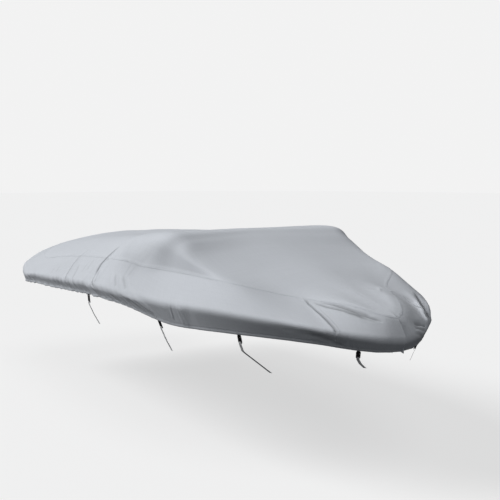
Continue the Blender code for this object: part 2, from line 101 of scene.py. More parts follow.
# Every fold, crease and tuck by side: its half width, its height, which is negative for a trough, the height
# of the lip along its forward side, and where it runs over the cloth as rib and span pairs.
FOLD_COLUMNS = ("half_width", "height", "lip", "trace")
FOLDS = {
    STARBOARD: (
        # The fill behind the windscreen's corner, which only the looks have, and broad folds.
        (0.15, 0.044, 0, ((7.10, 4.55), (8.15, 3.40))),
        (0.045, -0.008, 0, ((6.14, 3.90), (6.45, 1.20))),
        (0.05, 0.006, 0, ((6.00, 3.80), (6.28, 1.40))),
        (0.045, 0.006, 0, ((6.30, 3.80), (6.58, 1.30))),
        (0.04, -0.008, 0, ((7.06, 4.00), (7.10, 1.20))),
        (0.045, 0.007, 0, ((6.90, 3.80), (6.95, 1.20))),
        (0.045, 0.006, 0, ((7.22, 3.90), (7.28, 1.20))),
        (0.03, -0.005, 0, ((12.20, 3.15), (13.50, 2.83))),
        (0.03, -0.005, 0, ((12.35, 3.40), (13.95, 2.97))),
        (0.045, -0.003, 0, ((12.00, 3.30), (12.00, 1.80))),
        (0.035, 0.003, 0, ((8.00, 1.70), (8.70, 0.40))),
        (0.03, -0.003, 0, ((9.10, 1.60), (9.10, 0.20))),
        (0.03, 0.003, 0, ((9.30, 1.60), (9.40, 0.10))),
        (0.03, -0.0025, 0, ((9.50, 1.50), (9.60, 0.10))),
        # Creases that run down the after side from the shoulder.
        (0.012, -0.014, 0.005, ((6.24, 3.80), (6.32, 3.35), (6.37, 2.96), (6.43, 2.23), (6.50, 1.10))),
        (0.007, -0.004, 0.002, ((6.50, 3.10), (6.57, 2.66), (6.65, 1.80))),
        (0.0095, -0.014, 0.006, ((7.00, 4.25), (7.02, 3.70), (7.02, 3.25), (7.06, 2.91), (7.20, 1.75),
            (7.28, 1.20))),
        (0.007, -0.007, 0.003, ((7.12, 2.94), (7.20, 2.50), (7.27, 1.95))),
        (0.008, -0.002, 0.001, ((6.68, 3.25), (6.73, 2.52))),
        (0.008, -0.002, 0.001, ((6.74, 3.40), (6.82, 2.77))),
        (0.008, -0.002, 0.001, ((5.99, 2.86), (6.05, 2.24))),
        (0.008, -0.002, 0.001, ((5.80, 2.70), (5.88, 2.10))),
        # Soft upright gathers above the gunwale, aft of the windscreen.
        (0.016, 0.003, 0, ((7.51, 2.95), (7.67, 2.10))),
        (0.016, 0.004, 0, ((7.74, 2.96), (7.92, 2.07))),
        (0.016, 0.003, 0, ((7.91, 2.98), (8.15, 2.00))),
        (0.012, -0.003, 0, ((7.62, 2.90), (7.80, 2.05))),
        (0.012, -0.003, 0, ((7.83, 2.90), (8.04, 2.02))),
        # Streaks of the skirt.
        (0.009, 0.006, 0, ((7.88, 1.60), (8.55, 0.36))),
        (0.009, 0.006, 0, ((8.04, 1.55), (8.69, 0.42))),
        (0.009, 0.005, 0, ((8.27, 1.48), (8.64, 0.68))),
        (0.01, 0.0035, 0, ((9.07, 1.48), (9.09, 0.35))),
        (0.011, 0.0035, 0, ((9.22, 1.62), (9.36, 0.10))),
        (0.009, 0.0025, 0, ((9.32, 1.25), (9.47, 0.06))),
        (0.012, -0.003, 0, ((11.10, 1.10), (12.20, 0.50))),
        (0.012, -0.004, 0.002, ((11.60, 1.00), (12.62, 0.22))),
        (0.01, -0.003, 0, ((12.00, 1.05), (12.75, 0.55))),
        # The pull of the cross seam's two rows of stitches.
        (0.006, -0.008, 0.002, ((12.00, 3.25), (12.02, 2.90), (12.18, 2.50), (12.36, 2.00), (12.36, 1.30))),
        (0.005, -0.005, 0.002, ((12.10, 2.65), (12.27, 2.35), (12.42, 2.00), (12.41, 1.35))),
        # Creases that fan out over the foredeck from the corner of the cross seam.
        (0.007, -0.009, 0.003, ((12.16, 2.98), (12.43, 2.86), (12.90, 2.79), (13.52, 2.68))),
        (0.007, -0.009, 0.003, ((12.30, 3.12), (12.80, 2.93), (13.26, 2.82), (14.01, 2.79))),
        (0.007, -0.006, 0.002, ((12.60, 3.06), (13.10, 2.93), (13.60, 2.90))),
        (0.007, -0.003, 0.002, ((12.80, 2.74), (13.30, 2.66), (13.80, 2.66))),
    ),
    PORT: (
        # The fill behind the windscreen's corner, which only the looks have, and broad folds.
        (0.15, 0.026, 0, ((7.10, 4.55), (8.15, 3.40))),
        (0.04, 0.014, 0, ((11.60, 2.60), (12.65, 1.80))),
        (0.035, -0.008, 0, ((11.45, 2.20), (12.60, 1.60))),
        (0.06, 0.01, 0, ((12.40, 4.00), (11.85, 2.55))),
        (0.035, -0.012, 0, ((13.80, 2.60), (12.75, 1.30))),
        (0.045, 0.006, 0, ((14.50, 3.00), (14.00, 1.20))),
        # The pull of the cross seam's two rows of stitches.
        (0.006, -0.005, 0.002, ((12.00, 3.25), (12.02, 2.90), (12.18, 2.50), (12.36, 2.00), (12.36, 1.30))),
        # Folds beside the stem and the drawn ridge on the port bow.
        (0.014, 0.004, 0, ((13.10, 5.60), (12.74, 4.51), (11.92, 2.65))),
        (0.012, 0.009, 0, ((11.77, 2.45), (12.10, 2.35), (12.69, 2.20), (12.94, 1.80))),
        (0.014, -0.012, 0, ((11.29, 2.40), (11.58, 2.30), (12.06, 2.10), (12.64, 1.90))),
        (0.012, -0.008, 0.004, ((13.96, 2.60), (13.44, 2.20), (13.14, 1.60))),
        (0.01, -0.006, 0.003, ((14.10, 2.35), (13.75, 1.95), (13.45, 1.35))),
        (0.009, -0.004, 0.002, ((14.30, 1.95), (14.00, 1.50), (13.80, 1.10))),
    ),
}
FOLD_STEPS = 41
FOLD_END_FADE = 0.05
FOLD_FADE_POWER = 0.6
FOLD_REACH = 3.2
BROAD_FOLD = 0.1
NARROW_FOLD = 0.015
# Painted crease shade: trough depth for the darkest painted shade, and how far that shade spreads.
DARKEST_SHADED_CREASE = 0.010
CREASE_SHADE_SPREAD = 1.15

# The lips forward and aft of a crease: share of the lip's height, and distance and half width in creases.
LIPS = ((1.0, 2.1, 1.3), (0.4, -2.4, 1.6))

# The cross seam leans forward as it comes down the side: its lean in ribs, and how far that reaches.
CROSS_SEAM_LEAN = 0.36
CROSS_SEAM_LEAN_REACH = 0.8

# Gathers drawn in by the hem cord, by rib: depth, lean in metres per metre of height, hem flare.
GATHER_COLUMNS = ("rib", "depth", "lean", "flare")
GATHERS = (
    (0.0, 0.0040, 0.0, 0.004),
    (2.0, 0.0050, 0.1, 0.006),
    (3.2, 0.0120, 0.3, 0.009),
    (4.5, 0.0190, 0.6, 0.012),
    (6.0, 0.0220, 0.8, 0.012),
    (7.2, 0.0200, 1.1, 0.010),
    (7.8, 0.0120, 1.6, 0.004),
    (8.4, 0.0030, 2.2, 0.002),
    (9.1, 0.0022, 0.6, 0.002),
    (9.7, 0.0016, 0.4, 0.002),
    (10.8, 0.0008, 0.8, 0.002),
    (12.2, 0.0020, 0.6, 0.002),
    (13.2, 0.0030, -0.3, 0.001),
    (14.2, 0.0055, -0.6, 0.001),
    (15.0, 0.0, 0.0, 0.0),
)
# How much further in than the part's own the skirt is drawn at its hem, by rib.
DRAWN_IN = ((0, 0.0), (4.0, 0.004), (6.5, 0.014), (8.0, 0.018), (13.0, 0.016), (15, 0.010))
GATHER_SPANS = (0.0, 0.5, 0.9, 1.2, 1.6, 2.2, 2.6)
GATHER_SHARES = (1.0, 0.95, 0.80, 0.50, 0.20, 0.04, 0.0)
GATHER_SPACINGS = ((0.055, 0.40, 11), (0.125, 0.60, 12))
SWAY = 0.012
SWAY_FADES = 0.2
FLARE_WAVES = (0.11, 23)
STRENGTH_WAVES = (0.33, 19)
WAVE_DRIFT = 5.3

# Slow waves of the cloth: direction as x, y, z in waves per metre, share of the depth, and phase.
WAVES = (
    (1.3, 0.9, 0.4, 0.40, 0.3), (-0.8, 2.1, 0.7, 0.30, 1.9), (2.7, -1.4, 1.1, 0.20, 4.1),
    (3.9, 2.6, -0.6, 0.14, 2.6), (-4.4, 4.9, 1.5, 0.10, 5.2), (7.1, -3.2, 2.2, 0.07, 0.9),
)

# The turned hem: how far up the cloth each line of it lies, and how far outside the cloth's face.
HEM_PROFILE = (
    (0.0245, -0.0011), (0.0205, -0.0012), (0.0150, -0.0022), (0.0090, -0.0034), (0.0035, -0.0036),
    (-0.0004, -0.0028), (-0.0014, -0.0012), (0.0004, 0.0004), (0.0040, 0.0010), (0.0085, 0.0011),
    (0.0135, 0.0005), (0.0180, -0.0002), (0.0215, -0.0006), (0.0240, -0.0004), (0.0285, 0.0001),
    (0.0350, 0.0),
)
HEM_FLAP_LINES = 7
HEM_STITCH = (0.0215, -0.0006)

# The lapped seams: distance past the seam line, and how far the upper cloth stands off.
LAP_PROFILE = (
    (-0.0120, 0.0007), (-0.0112, 0.0010), (-0.0090, 0.0011), (-0.0070, 0.0008), (-0.0050, 0.0011),
    (-0.0020, 0.0011), (0.0010, 0.0007), (0.0035, 0.0010), (0.0080, 0.0007), (0.0140, 0.0003),
    (0.0220, 0.0),
)
LAP_STITCHES = ((-0.0070, 0.0008), (0.0010, 0.0007))
WIDE_LAP_PROFILE = (
    (-0.0230, 0.0007), (-0.0222, 0.0016), (-0.0200, 0.0018), (-0.0180, 0.0003), (-0.0160, 0.0018),
    (-0.0110, 0.0024), (-0.0060, 0.0018), (-0.0040, 0.0003), (-0.0020, 0.0018), (0.0040, 0.0014),
    (0.0120, 0.0005), (0.0220, 0.0),
)
RISE_STARTS = 0.04
RUN_STARTS = 0.01
THREAD_SITS = 0.25
WIDE_LAP_STITCHES = ((-0.0180, 0.0003), (-0.0040, 0.0003))
# How the starboard bow panel laps past the stem: distance past it, and how far the cloth stands off.
STEM_LAP_PROFILE = ((0.0030, 0.0014), (0.0060, 0.0018), (0.0090, 0.0014), (0.0112, 0.0009))
UNDER_LAP = 0.003
NEAR_SEAM = (0.030, 0.022, 0.016, 0.011, 0.007, 0.003)

# Row spacing along the gunwale, by rib, for the skirted panels and for the centre panel.
PANEL_ROWS = (
    (0.0, 0.0080), (3.0, 0.0075), (4.5, 0.0062), (6.0, 0.0060), (6.15, 0.0040), (6.65, 0.0042),
    (6.75, 0.0060), (6.85, 0.0060), (6.95, 0.0040), (7.30, 0.0044), (7.45, 0.0060), (7.9, 0.0060),
    (8.1, 0.0044), (9.6, 0.0044), (9.8, 0.0072), (11.0, 0.0086), (11.6, 0.0060), (15.0, 0.0050),
)
CENTRE_ROWS = (
    (0.0, 0.016), (5.9, 0.015), (6.12, 0.0050), (6.45, 0.0055), (6.60, 0.015), (6.88, 0.012),
    (6.96, 0.0045), (7.10, 0.0045), (7.20, 0.012), (7.6, 0.016), (11.4, 0.016), (11.9, 0.0075),
    (13.6, 0.0080), (14.2, 0.012), (15.0, 0.011),
)
PANEL_MIDDLE_LINES = 27
CENTRE_MIDDLE_LINES = 40
CENTRE_LINES_CROWD = 1.45
ARC_STEP = 0.04

# The webbing ties. "drop", "inward" and "forward" give the strap's two runs below its buckle.
WEBBING = 0.0016
WEBBING_EDGE = 0.0012
TACK_INSET = 0.002
TACK_HEIGHTS = (0.006, 0.026)
TACK_STITCH = 0.0036
TAB_WIDTH = 0.020
TAB_ON_CLOTH = 0.030
CLOTH_CLEARANCE = 0.0006
BUCKLE_WIDTH = 0.030
BUCKLE_LENGTH = 0.052
BUCKLE_THICKNESS = 0.009
BUCKLE_BAR = 0.005
BUCKLE_SLOT = 0.0075
SLOT_WIDER_THAN_TAB = 0.003
BUCKLE_BELOW_HEM = 0.016
BAR_CLEARANCE = 0.0004
TAB_TAIL_BELOW_HEM = 0.004
STRAP_TAIL = 0.012
STRAP_WIDTH = 0.020
TAIL_LIES_BACK = 0.6
STRAP_BEND_SHARE = 0.1
TIE_COLUMNS = ("rib", "drop_a", "inward_a", "drop_b", "inward_b", "forward_b")
TIES = (
    (6.95, 0.100, 0.045, 0.085, 0.045, 0.010),
    (8.70, 0.090, 0.040, 0.080, 0.040, 0.010),
    (10.50, 0.050, 0.020, 0.160, 0.185, 0.060),
    (13.10, 0.030, 0.020, 0.030, 0.030, 0.010),
)

# Share of the floor's brightness that is its own glow, which keeps the cover's shadow faint.
FLOOR_GLOW = 0.72
SKY_COLOUR = (0.93, 0.96, 1.0, 1.0)


def table(rows, columns):
    """The named columns of a table, each as an array."""
    return {name: np.array([row[i] for row in rows], float) for i, name in enumerate(columns)}


def lengths_along(points):
    """How far each point of a path lies from its start."""
    return np.concatenate([[0], np.cumsum(np.linalg.norm(np.diff(points, axis=0), axis=1))])


RIB_TABLE = table(RIBS, RIB_COLUMNS)
EDGE_LINE = np.stack([RIB_TABLE["edge_x"], RIB_TABLE["edge_y"], RIB_TABLE["edge_z"]], 1)
RIB_PLACES = lengths_along(EDGE_LINE)
HEM_HALF = RIB_PLACES[-1]


def rib_at(place):
    """The rib number at a place along the gunwale, measured from the middle of the transom."""
    return np.interp(place, RIB_PLACES, np.arange(len(RIBS)))


def place_of(rib):
    """The place along the gunwale of a rib number."""
    return np.interp(rib, np.arange(len(RIBS)), RIB_PLACES)


def smooth(at, known, values):
    """Cubic curve through the values, with slopes taken from their neighbours."""
    slopes = np.gradient(values, known, axis=0)
    step = np.clip(np.searchsorted(known, at, side="right") - 1, 0, len(known) - 2)
    width = known[step + 1] - known[step]
    share = ((at - known[step]) / width)[:, None]
    width = width[:, None]
    leaving, arriving = slopes[step] * width, slopes[step + 1] * width
    return (
        values[step] * (1 + 2 * share) * (1 - share) ** 2
        + leaving * share * (1 - share) ** 2
        + values[step + 1] * share**2 * (3 - 2 * share)
        + arriving * share**2 * (share - 1)
    )


def unit(vectors):
    """The vectors at unit length."""
    return vectors / np.maximum(np.linalg.norm(vectors, axis=-1, keepdims=True), 1e-12)


def arc(before, corner, after, share):
    """Point on the rounded corner between two straight runs."""
    return before * (1 - share) ** 2 + 2 * corner * share * (1 - share) + after * share**2


def toward(start, end, length):
    """The points that lie a length from the starts, or less where the run is short."""
    reach = np.linalg.norm(end - start, axis=1, keepdims=True)
    return start + (end - start) * np.minimum(length / np.maximum(reach, 1e-9), LONGEST_BEND_SHARE)


def guides(rib):
    """Edge, shoulder, top and ridge guide lines, the way outward and the skirt's depth, at the given ribs."""
    ribs = RIB_TABLE
    shoulder = np.stack([ribs["shoulder_x"], ribs["shoulder_y"], ribs["shoulder_z"]], 1)
    top = np.stack([ribs["top_x"], ribs["top_y"], ribs["top_z"]], 1)
    ridge = np.stack([ribs["ridge_x"], 0 * ribs["ridge_x"], ribs["ridge_z"]], 1)
    at = place_of(rib)
    lines = [smooth(at, RIB_PLACES, guide) for guide in (EDGE_LINE, shoulder, top, ridge)]
    just_after = smooth(np.minimum(at + EDGE_SLOPE_STEP, HEM_HALF), RIB_PLACES, EDGE_LINE)
    just_before = smooth(np.maximum(at - EDGE_SLOPE_STEP, 0), RIB_PLACES, EDGE_LINE)
    on_centre = (rib <= 0) | (rib >= STEM_RIB)
    for line in lines:
        line[on_centre, 1] = 0.0
    run = unit(just_after - just_before)
    outward = unit(np.stack([-run[:, 1], run[:, 0], 0 * at], 1))
    outward[on_centre, 1] = 0.0
    return lines, unit(outward), smooth(at, RIB_PLACES, ribs["skirt"][:, None])


def bare_cloth(rib, span, side):
    """Points of the cloth before it is folded, one for each rib number and span."""
    (edge, shoulder, top, ridge), outward, skirt = guides(rib)
    tighten = np.clip((edge[:, :1] - SHOULDER_TIGHTENS[0]) / np.ptp(SHOULDER_TIGHTENS), 0, 1)
    bend = SHOULDER_RADIUS_AFT + (SHOULDER_RADIUS_FORWARD[side] - SHOULDER_RADIUS_AFT) * tighten
    hem = edge - outward * HEM_TUCK - skirt * np.array([0, 0, 1])
    over_ridge = top * np.array([1, -1, 1])
    edge_low, edge_high = toward(edge, hem, EDGE_RADIUS), toward(edge, shoulder, EDGE_RADIUS)
    shoulder_low, shoulder_high = toward(shoulder, edge, bend), toward(shoulder, top, bend)
    top_low, top_high = toward(top, shoulder, TOP_RADIUS), toward(top, ridge, TOP_RADIUS)
    ridge_low = toward(ridge, top, RIDGE_RADIUS)
    ridge_over = toward(ridge, over_ridge, RIDGE_RADIUS)
    runs = (
        lambda share: hem + (edge_low - hem) * share,
        lambda share: arc(edge_low, edge, edge_high, share),
        lambda share: edge_high + (shoulder_low - edge_high) * share,
        lambda share: arc(shoulder_low, shoulder, shoulder_high, share),
        lambda share: shoulder_high + (top_low - shoulder_high) * share,
        lambda share: arc(top_low, top, top_high, share),
        lambda share: top_high + (ridge_low - top_high) * share,
        lambda share: arc(ridge_low, ridge, ridge_over, share / 2),
    )
    step = np.clip(span.astype(int), 0, len(runs) - 1)
    points = np.zeros((len(rib), 3))
    for number, run in enumerate(runs):
        here = step == number
        if here.any():
            points[here] = run((span - step)[:, None])[here]
    if side == PORT:
        raised = np.clip((points[:, 2] - LEAN_HEIGHTS[0]) / np.ptp(LEAN_HEIGHTS), 0, 1)
        points[:, 2] -= PORT_LEAN * points[:, 1] * raised
    else:
        points[:, 1] *= -1
    return points - np.array([TRANSOM_TO_TOP, 0, TOP_ABOVE_GROUND])


def leaning(rib, span):
    """Rib numbers moved forward where the cross seam leans."""
    down = np.clip(3.0 - span, 0, 1)
    near = np.exp(-(((rib - CROSS_SEAM_RIB) / CROSS_SEAM_LEAN_REACH) ** 2))
    return rib + CROSS_SEAM_LEAN * down * near


def on_grid(rib, span, side):
    """Bare cloth for grids of rib numbers and spans."""
    rib, span = np.broadcast_arrays(rib, span)
    return bare_cloth(rib.ravel(), span.ravel(), side).reshape(*rib.shape, 3)


def outward_from(rib, span, side):
    """Outward unit directions of the bare cloth."""
    rib, span = np.broadcast_arrays(rib, span)
    step, rise = 0.012, 0.02
    fore, aft = np.minimum(rib + step, STEM_RIB), np.maximum(rib - step, 0)
    along = on_grid(fore, span, side) - on_grid(aft, span, side)
    above, beneath = np.minimum(span + rise, RIDGE_SPAN - 1e-6), np.maximum(span - rise, 0)
    across = on_grid(rib, above, side) - on_grid(rib, beneath, side)
    out = np.cross(along, across) * (1 if side == STARBOARD else -1)
    middle = (rib <= 0) | (rib >= STEM_RIB) | (span >= RIDGE_SPAN - 1e-6)
    out[middle, 1] = 0.0
    return unit(out)


def ripple(along, spacing, seed):
    """Uneven waves round the whole hem, from crest to crest, between about -1 and 1."""
    count = 2 * round(HEM_HALF / spacing)
    dice = np.random.default_rng(seed)
    values = dice.uniform(0.35, 1.0, count) * np.where(np.arange(count) % 2, 1, -1)
    turns = round(WAVE_DRIFT * HEM_HALF / np.pi)
    at = along / (2 * HEM_HALF) * count + 0.35 * np.sin(np.pi * turns * along / HEM_HALF + seed)
    knot = np.floor(at).astype(int)
    share = at - knot
    a, b, c, d = (values[(knot + k) % count] for k in (-1, 0, 1, 2))
    return b + 0.5 * share * (c - a + share * (2 * a - 5 * b + 4 * c - d + share * (3 * (b - c) + d - a)))


def gather_lift(place, rib, span, height, side):
    """How far the hem cord's gathers lift the cloth."""
    rows = table(GATHERS, GATHER_COLUMNS)
    lean = np.interp(rib, rows["rib"], rows["lean"])
    depth = np.interp(rib, rows["rib"], rows["depth"]) * np.interp(span, GATHER_SPANS, GATHER_SHARES)
    sway = SWAY * np.sin(height * 31 + place * 3.1)
    sway = sway * np.clip(np.minimum(place, HEM_HALF - place) / SWAY_FADES, 0, 1)
    along = place + lean * height + sway
    along = along if side == STARBOARD else -along
    lift = 0
    for spacing, share, seed in GATHER_SPACINGS:
        lift = lift + share * (1.6 * np.abs(ripple(along, spacing, seed)) ** 0.8 - 0.9)
    strength = 0.75 + 0.35 * ripple(along, *STRENGTH_WAVES)
    return depth * lift * strength


def fold_lift(points, outward, side):
    """How far folds and creases lift each point, and how much painted shade its creases give it."""
    lift = np.zeros(len(points))
    crease_shade = np.zeros(len(points))
    for row in FOLDS[side]:
        fold = dict(zip(FOLD_COLUMNS, row))
        trace = np.array(fold["trace"], float)
        share = np.linspace(0, 1, FOLD_STEPS)
        marks = np.linspace(0, 1, len(trace))
        ribs, spans = (np.interp(share, marks, trace[:, i]) for i in (0, 1))
        line = bare_cloth(ribs, spans, side)
        reach = FOLD_REACH * fold["half_width"] * (1.6 if fold["lip"] else 1)
        near = np.nonzero(((points > line.min(0) - reach) & (points < line.max(0) + reach)).all(1))[0]
        if not len(near):
            continue
        start, run = line[:-1], np.diff(line, axis=0)
        away = points[near][:, None] - start[None]
        along = np.clip((away * run).sum(-1) / np.maximum((run**2).sum(-1), 1e-12), 0, 1)
        offset = away - run * along[..., None]
        distance = np.linalg.norm(offset, axis=-1)
        best = distance.argmin(1)
        pick = np.arange(len(near))
        distance, offset = distance[pick, best], offset[pick, best]
        at = (best + along[pick, best]) / (FOLD_STEPS - 1)
        wide = fold["half_width"]
        if wide > BROAD_FOLD:
            fade = np.sin(np.pi * at) ** 2
        elif wide < NARROW_FOLD:
            fade = np.clip(at * 5, 0, 1) * np.clip((1 - at) * 8, 0, 1)
        else:
            fade = np.sin(np.pi * (FOLD_END_FADE + at * (1 - 2 * FOLD_END_FADE))) ** FOLD_FADE_POWER
        shape = fold["height"] * np.exp(-((distance / wide) ** 2))
        if fold["lip"]:
            forward = offset[:, 0] > 0
            beside = np.where(forward, distance, -distance)
            for share_of_lip, middle, spread in LIPS:
                off_lip = (beside - middle * wide) / (spread * wide)
                shape += share_of_lip * fold["lip"] * np.exp(-(off_lip**2))
        lift[near] += shape * fade
        # Narrow troughs also get painted shade: a mask that darkens the cloth's colour down in the crease.
        if fold["height"] < 0 and wide < NARROW_FOLD:
            dark = min(1.0, -fold["height"] / DARKEST_SHADED_CREASE)
            crease_shade[near] += fade * np.exp(-((distance / (CREASE_SHADE_SPREAD * wide)) ** 2)) * dark
    return lift, np.clip(crease_shade, 0, 1)


def wave_lift(points, depth):
    """Slow waves of the whole cloth."""
    lift = np.zeros(len(points))
    for x, y, z, share, phase in WAVES:
        lift += share * np.sin(2 * np.pi * (points @ np.array([x, y, z]) * 0.55) + phase)
    return lift * depth


def cloth_settings():
    """The cloth's settings."""
    return bpy.context.scene.cover_cloth


def lay_out(places, lines, side):
    """Outer face of the folded cloth where rows cross lines, its outward directions, painted crease shade and
    arc lengths.

    The lines are a function that gives their arc lengths up each row, from the seam's and the ridge's."""
    steps = np.append(np.arange(0, RIDGE_SPAN, ARC_STEP), RIDGE_SPAN)
    ribs = rib_at(places)[:, None]
    path = on_grid(leaning(ribs, steps[None]), steps[None], side)
    lengths = np.concatenate(
        [np.zeros((len(places), 1)), np.cumsum(np.linalg.norm(np.diff(path, axis=1), axis=-1), axis=1)], 1
    )
    seam = np.array([np.interp(SEAM_SPAN, steps, row) for row in lengths])
    arcs = lines(seam[:, None], lengths[:, -1:])
    spans = np.array([np.interp(np.maximum(want, 0), row, steps) for want, row in zip(arcs, lengths)])
    rib = leaning(np.broadcast_to(ribs, spans.shape), spans)
    bare = on_grid(rib, spans, side)
    out = outward_from(rib, spans, side)
    flat_points = bare.reshape(-1, 3)
    lift, crease_shade = fold_lift(flat_points, out.reshape(-1, 3), side)
    lift += wave_lift(flat_points, cloth_settings().wave_depth)
    lift, crease_shade = lift.reshape(spans.shape), crease_shade.reshape(spans.shape)
    height = np.clip(arcs, 0, 0.45)
    place = np.broadcast_to(places[:, None], spans.shape)
    lift = lift + gather_lift(place, rib, spans, height, side) * cloth_settings().gather_share
    rows = table(GATHERS, GATHER_COLUMNS)
    flare = np.interp(rib, rows["rib"], rows["flare"]) * (0.8 + 0.4 * ripple(place, *FLARE_WAVES))
    lift = lift + flare * np.exp(-((np.maximum(arcs, 0) / 0.020) ** 1.5))
    drawn_in = np.interp(rib, *np.array(DRAWN_IN).T) * np.clip(1 - spans, 0, 1)
    points = bare + out * (lift - drawn_in)[..., None]
    below = np.minimum(arcs, 0)[..., None]
    first = on_grid(rib, np.full_like(spans, 0.25), side) - on_grid(rib, np.zeros_like(spans), side)
    points = points + unit(first) * below
    return points, out, crease_shade, arcs


def rows_between(start, end, spacing):
    """Places of rows between two places, spaced as a table by rib says."""
    ribs, gaps = np.array(spacing).T
    places = [start]
    while places[-1] < end:
        places.append(places[-1] + np.interp(rib_at(places[-1]), ribs, gaps))
    places = np.array(places)
    return start + (places - start) * (end - start) / (places[-1] - start)


def finish_mesh(piece, material, nodes):
    """Material, smooth shading and body of a new piece, and hides the model's parts that it replaces."""
    piece.data.materials.clear()
    piece.data.materials.append(material)
    piece.data.shade_smooth()
    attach(piece, "root")
    if nodes:
        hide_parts(*nodes)
    return piece


def new_piece(name, mesh):
    """A new object of the scene that shows a mesh, or holds a light or camera."""
    piece = bpy.data.objects.new(name, mesh)
    bpy.context.scene.collection.objects.link(piece)
    return piece


def grid_piece(name, points, uvs, masks, flip=False, folded=False):
    """A mesh over a grid of points, with its own map in metres and its masks."""
    rows, columns = points.shape[:2]
    index = np.arange(rows * columns).reshape(rows, columns)
    if folded:
        for row in (0, rows - 1):
            half = columns // 2
            index[row, half + 1:] = index[row, :half][::-1]
    used = np.unique(index)
    renumber = np.zeros(rows * columns, int)
    renumber[used] = np.arange(len(used))
    corners = [index[:-1, :-1], index[1:, :-1], index[1:, 1:], index[:-1, 1:]]
    own = np.arange(rows * columns).reshape(rows, columns)
    own_corners = [own[:-1, :-1], own[1:, :-1], own[1:, 1:], own[:-1, 1:]]
    if flip:
        corners, own_corners = corners[::-1], own_corners[::-1]
    faces = renumber[np.stack([c.ravel() for c in corners], 1)]
    loops = np.stack([c.ravel() for c in own_corners], 1).ravel()
    mesh = bpy.data.meshes.new(name)
    mesh.from_pydata(points.reshape(-1, 3)[used].tolist(), [], faces.tolist())
    layer = mesh.uv_layers.new(name="cloth_map")
    layer.data.foreach_set("uv", uvs.reshape(-1, 2)[loops].astype(np.float32).ravel())
    for mask, values in masks.items():
        attribute = mesh.attributes.new(mask, "FLOAT", "POINT")
        attribute.data.foreach_set("value", values.ravel()[used].astype(np.float32))
    mesh.update()
    return new_piece(name, mesh)


def pick_out(piece):
    """Selects one piece alone and makes it active."""
    bpy.ops.object.select_all(action="DESELECT")
    piece.select_set(True)
    bpy.context.view_layer.objects.active = piece


def edit_all(piece):
    """Opens a piece in edit mode with everything selected."""
    pick_out(piece)
    bpy.ops.object.mode_set(mode="EDIT")
    bpy.ops.mesh.select_all(action="SELECT")


def turn_outward(piece):
    """Turns every face of a closed piece outward."""
    edit_all(piece)
    bpy.ops.mesh.normals_make_consistent(inside=False)
    bpy.ops.object.mode_set(mode="OBJECT")


def apply_all(piece):
    """Applies every modifier of a piece."""
    pick_out(piece)
    for modifier in list(piece.modifiers):
        bpy.ops.object.modifier_apply(modifier=modifier.name)


def thicken(piece, thickness):
    """Gives the cloth its thickness, inward from its outer face."""
    wall = piece.modifiers.new("cloth thickness", "SOLIDIFY")
    wall.thickness = thickness
    wall.offset = -1.0
    wall.use_even_offset = False
    wall.use_quality_normals = True
    apply_all(piece)


# ---- materials ---------------------------------------------------------------------------------


class Tree:
    """A short way to write shader nodes and the links between them."""

    def __init__(self, tree):
        self.tree = tree

    def node(self, kind, inputs=(), **settings):
        made = self.tree.nodes.new(kind)
        for name, value in settings.items():
            setattr(made, name, value)
        for key, value in dict(inputs).items():
            socket = made.inputs[key]
            if isinstance(value, bpy.types.NodeSocket):
                self.tree.links.new(value, socket)
            else:
                socket.default_value = value
        return made

    def link(self, output, socket):
        self.tree.links.new(output, socket)

    def lit(self, shader, colour, shade):
        scaled = self.node("ShaderNodeVectorMath", {0: (*colour,), "Scale": shade}, operation="SCALE")
        self.link(scaled.outputs[0], shader.inputs["Base Color"])

    def bumped(self, shader, strength, distance, height):
        bump = self.node("ShaderNodeBump", {"Strength": strength, "Distance": distance, "Height": height})
        self.link(bump.outputs[0], shader.inputs["Normal"])

    def group(self, tree, **inputs):
        named = {key.replace("_", " ").title(): value for key, value in inputs.items()}
        return self.node("ShaderNodeGroup", named, node_tree=tree).outputs

    def math(self, operation, *values, clamp=False):
        made = self.node("ShaderNodeMath", enumerate(values), operation=operation, use_clamp=clamp)
        return made.outputs[0]

    def stretch(self, vector, scale):
        made = self.node("ShaderNodeVectorMath", {0: vector, 1: scale}, operation="MULTIPLY")
        return made.outputs[0]

    def noise(self, vector, scale, detail=2.0, roughness=0.5):
        made = self.node(
            "ShaderNodeTexNoise",
            {"Vector": vector, "Scale": scale, "Detail": detail, "Roughness": roughness},
        )
        return made.outputs["Fac"]

    def scaled(self, value, low, high):
        made = self.node("ShaderNodeMapRange", {"Value": value, "To Min": low, "To Max": high})
        return made.outputs["Result"]

    def mix(self, share, first, second, blend="MIX"):
        made = self.node("ShaderNodeMix", data_type="RGBA", blend_type=blend)
        for socket, value in ((made.inputs[0], share), (made.inputs[6], first), (made.inputs[7], second)):
            if isinstance(value, bpy.types.NodeSocket):
                self.tree.links.new(value, socket)
            else:
                socket.default_value = value
        return made.outputs[2]


def group_of(name, inputs, outputs):
    """An empty node group with named inputs and outputs, and its two ends."""
    tree = bpy.data.node_groups.new(name, "ShaderNodeTree")
    for label, kind, default in inputs:
        socket = tree.interface.new_socket(label, in_out="INPUT", socket_type=kind)
        if default is not None:
            socket.default_value = default
    for label, kind in outputs:
        tree.interface.new_socket(label, in_out="OUTPUT", socket_type=kind)
    start, end = tree.nodes.new("NodeGroupInput"), tree.nodes.new("NodeGroupOutput")
    return tree, Tree(tree), start.outputs, end.inputs


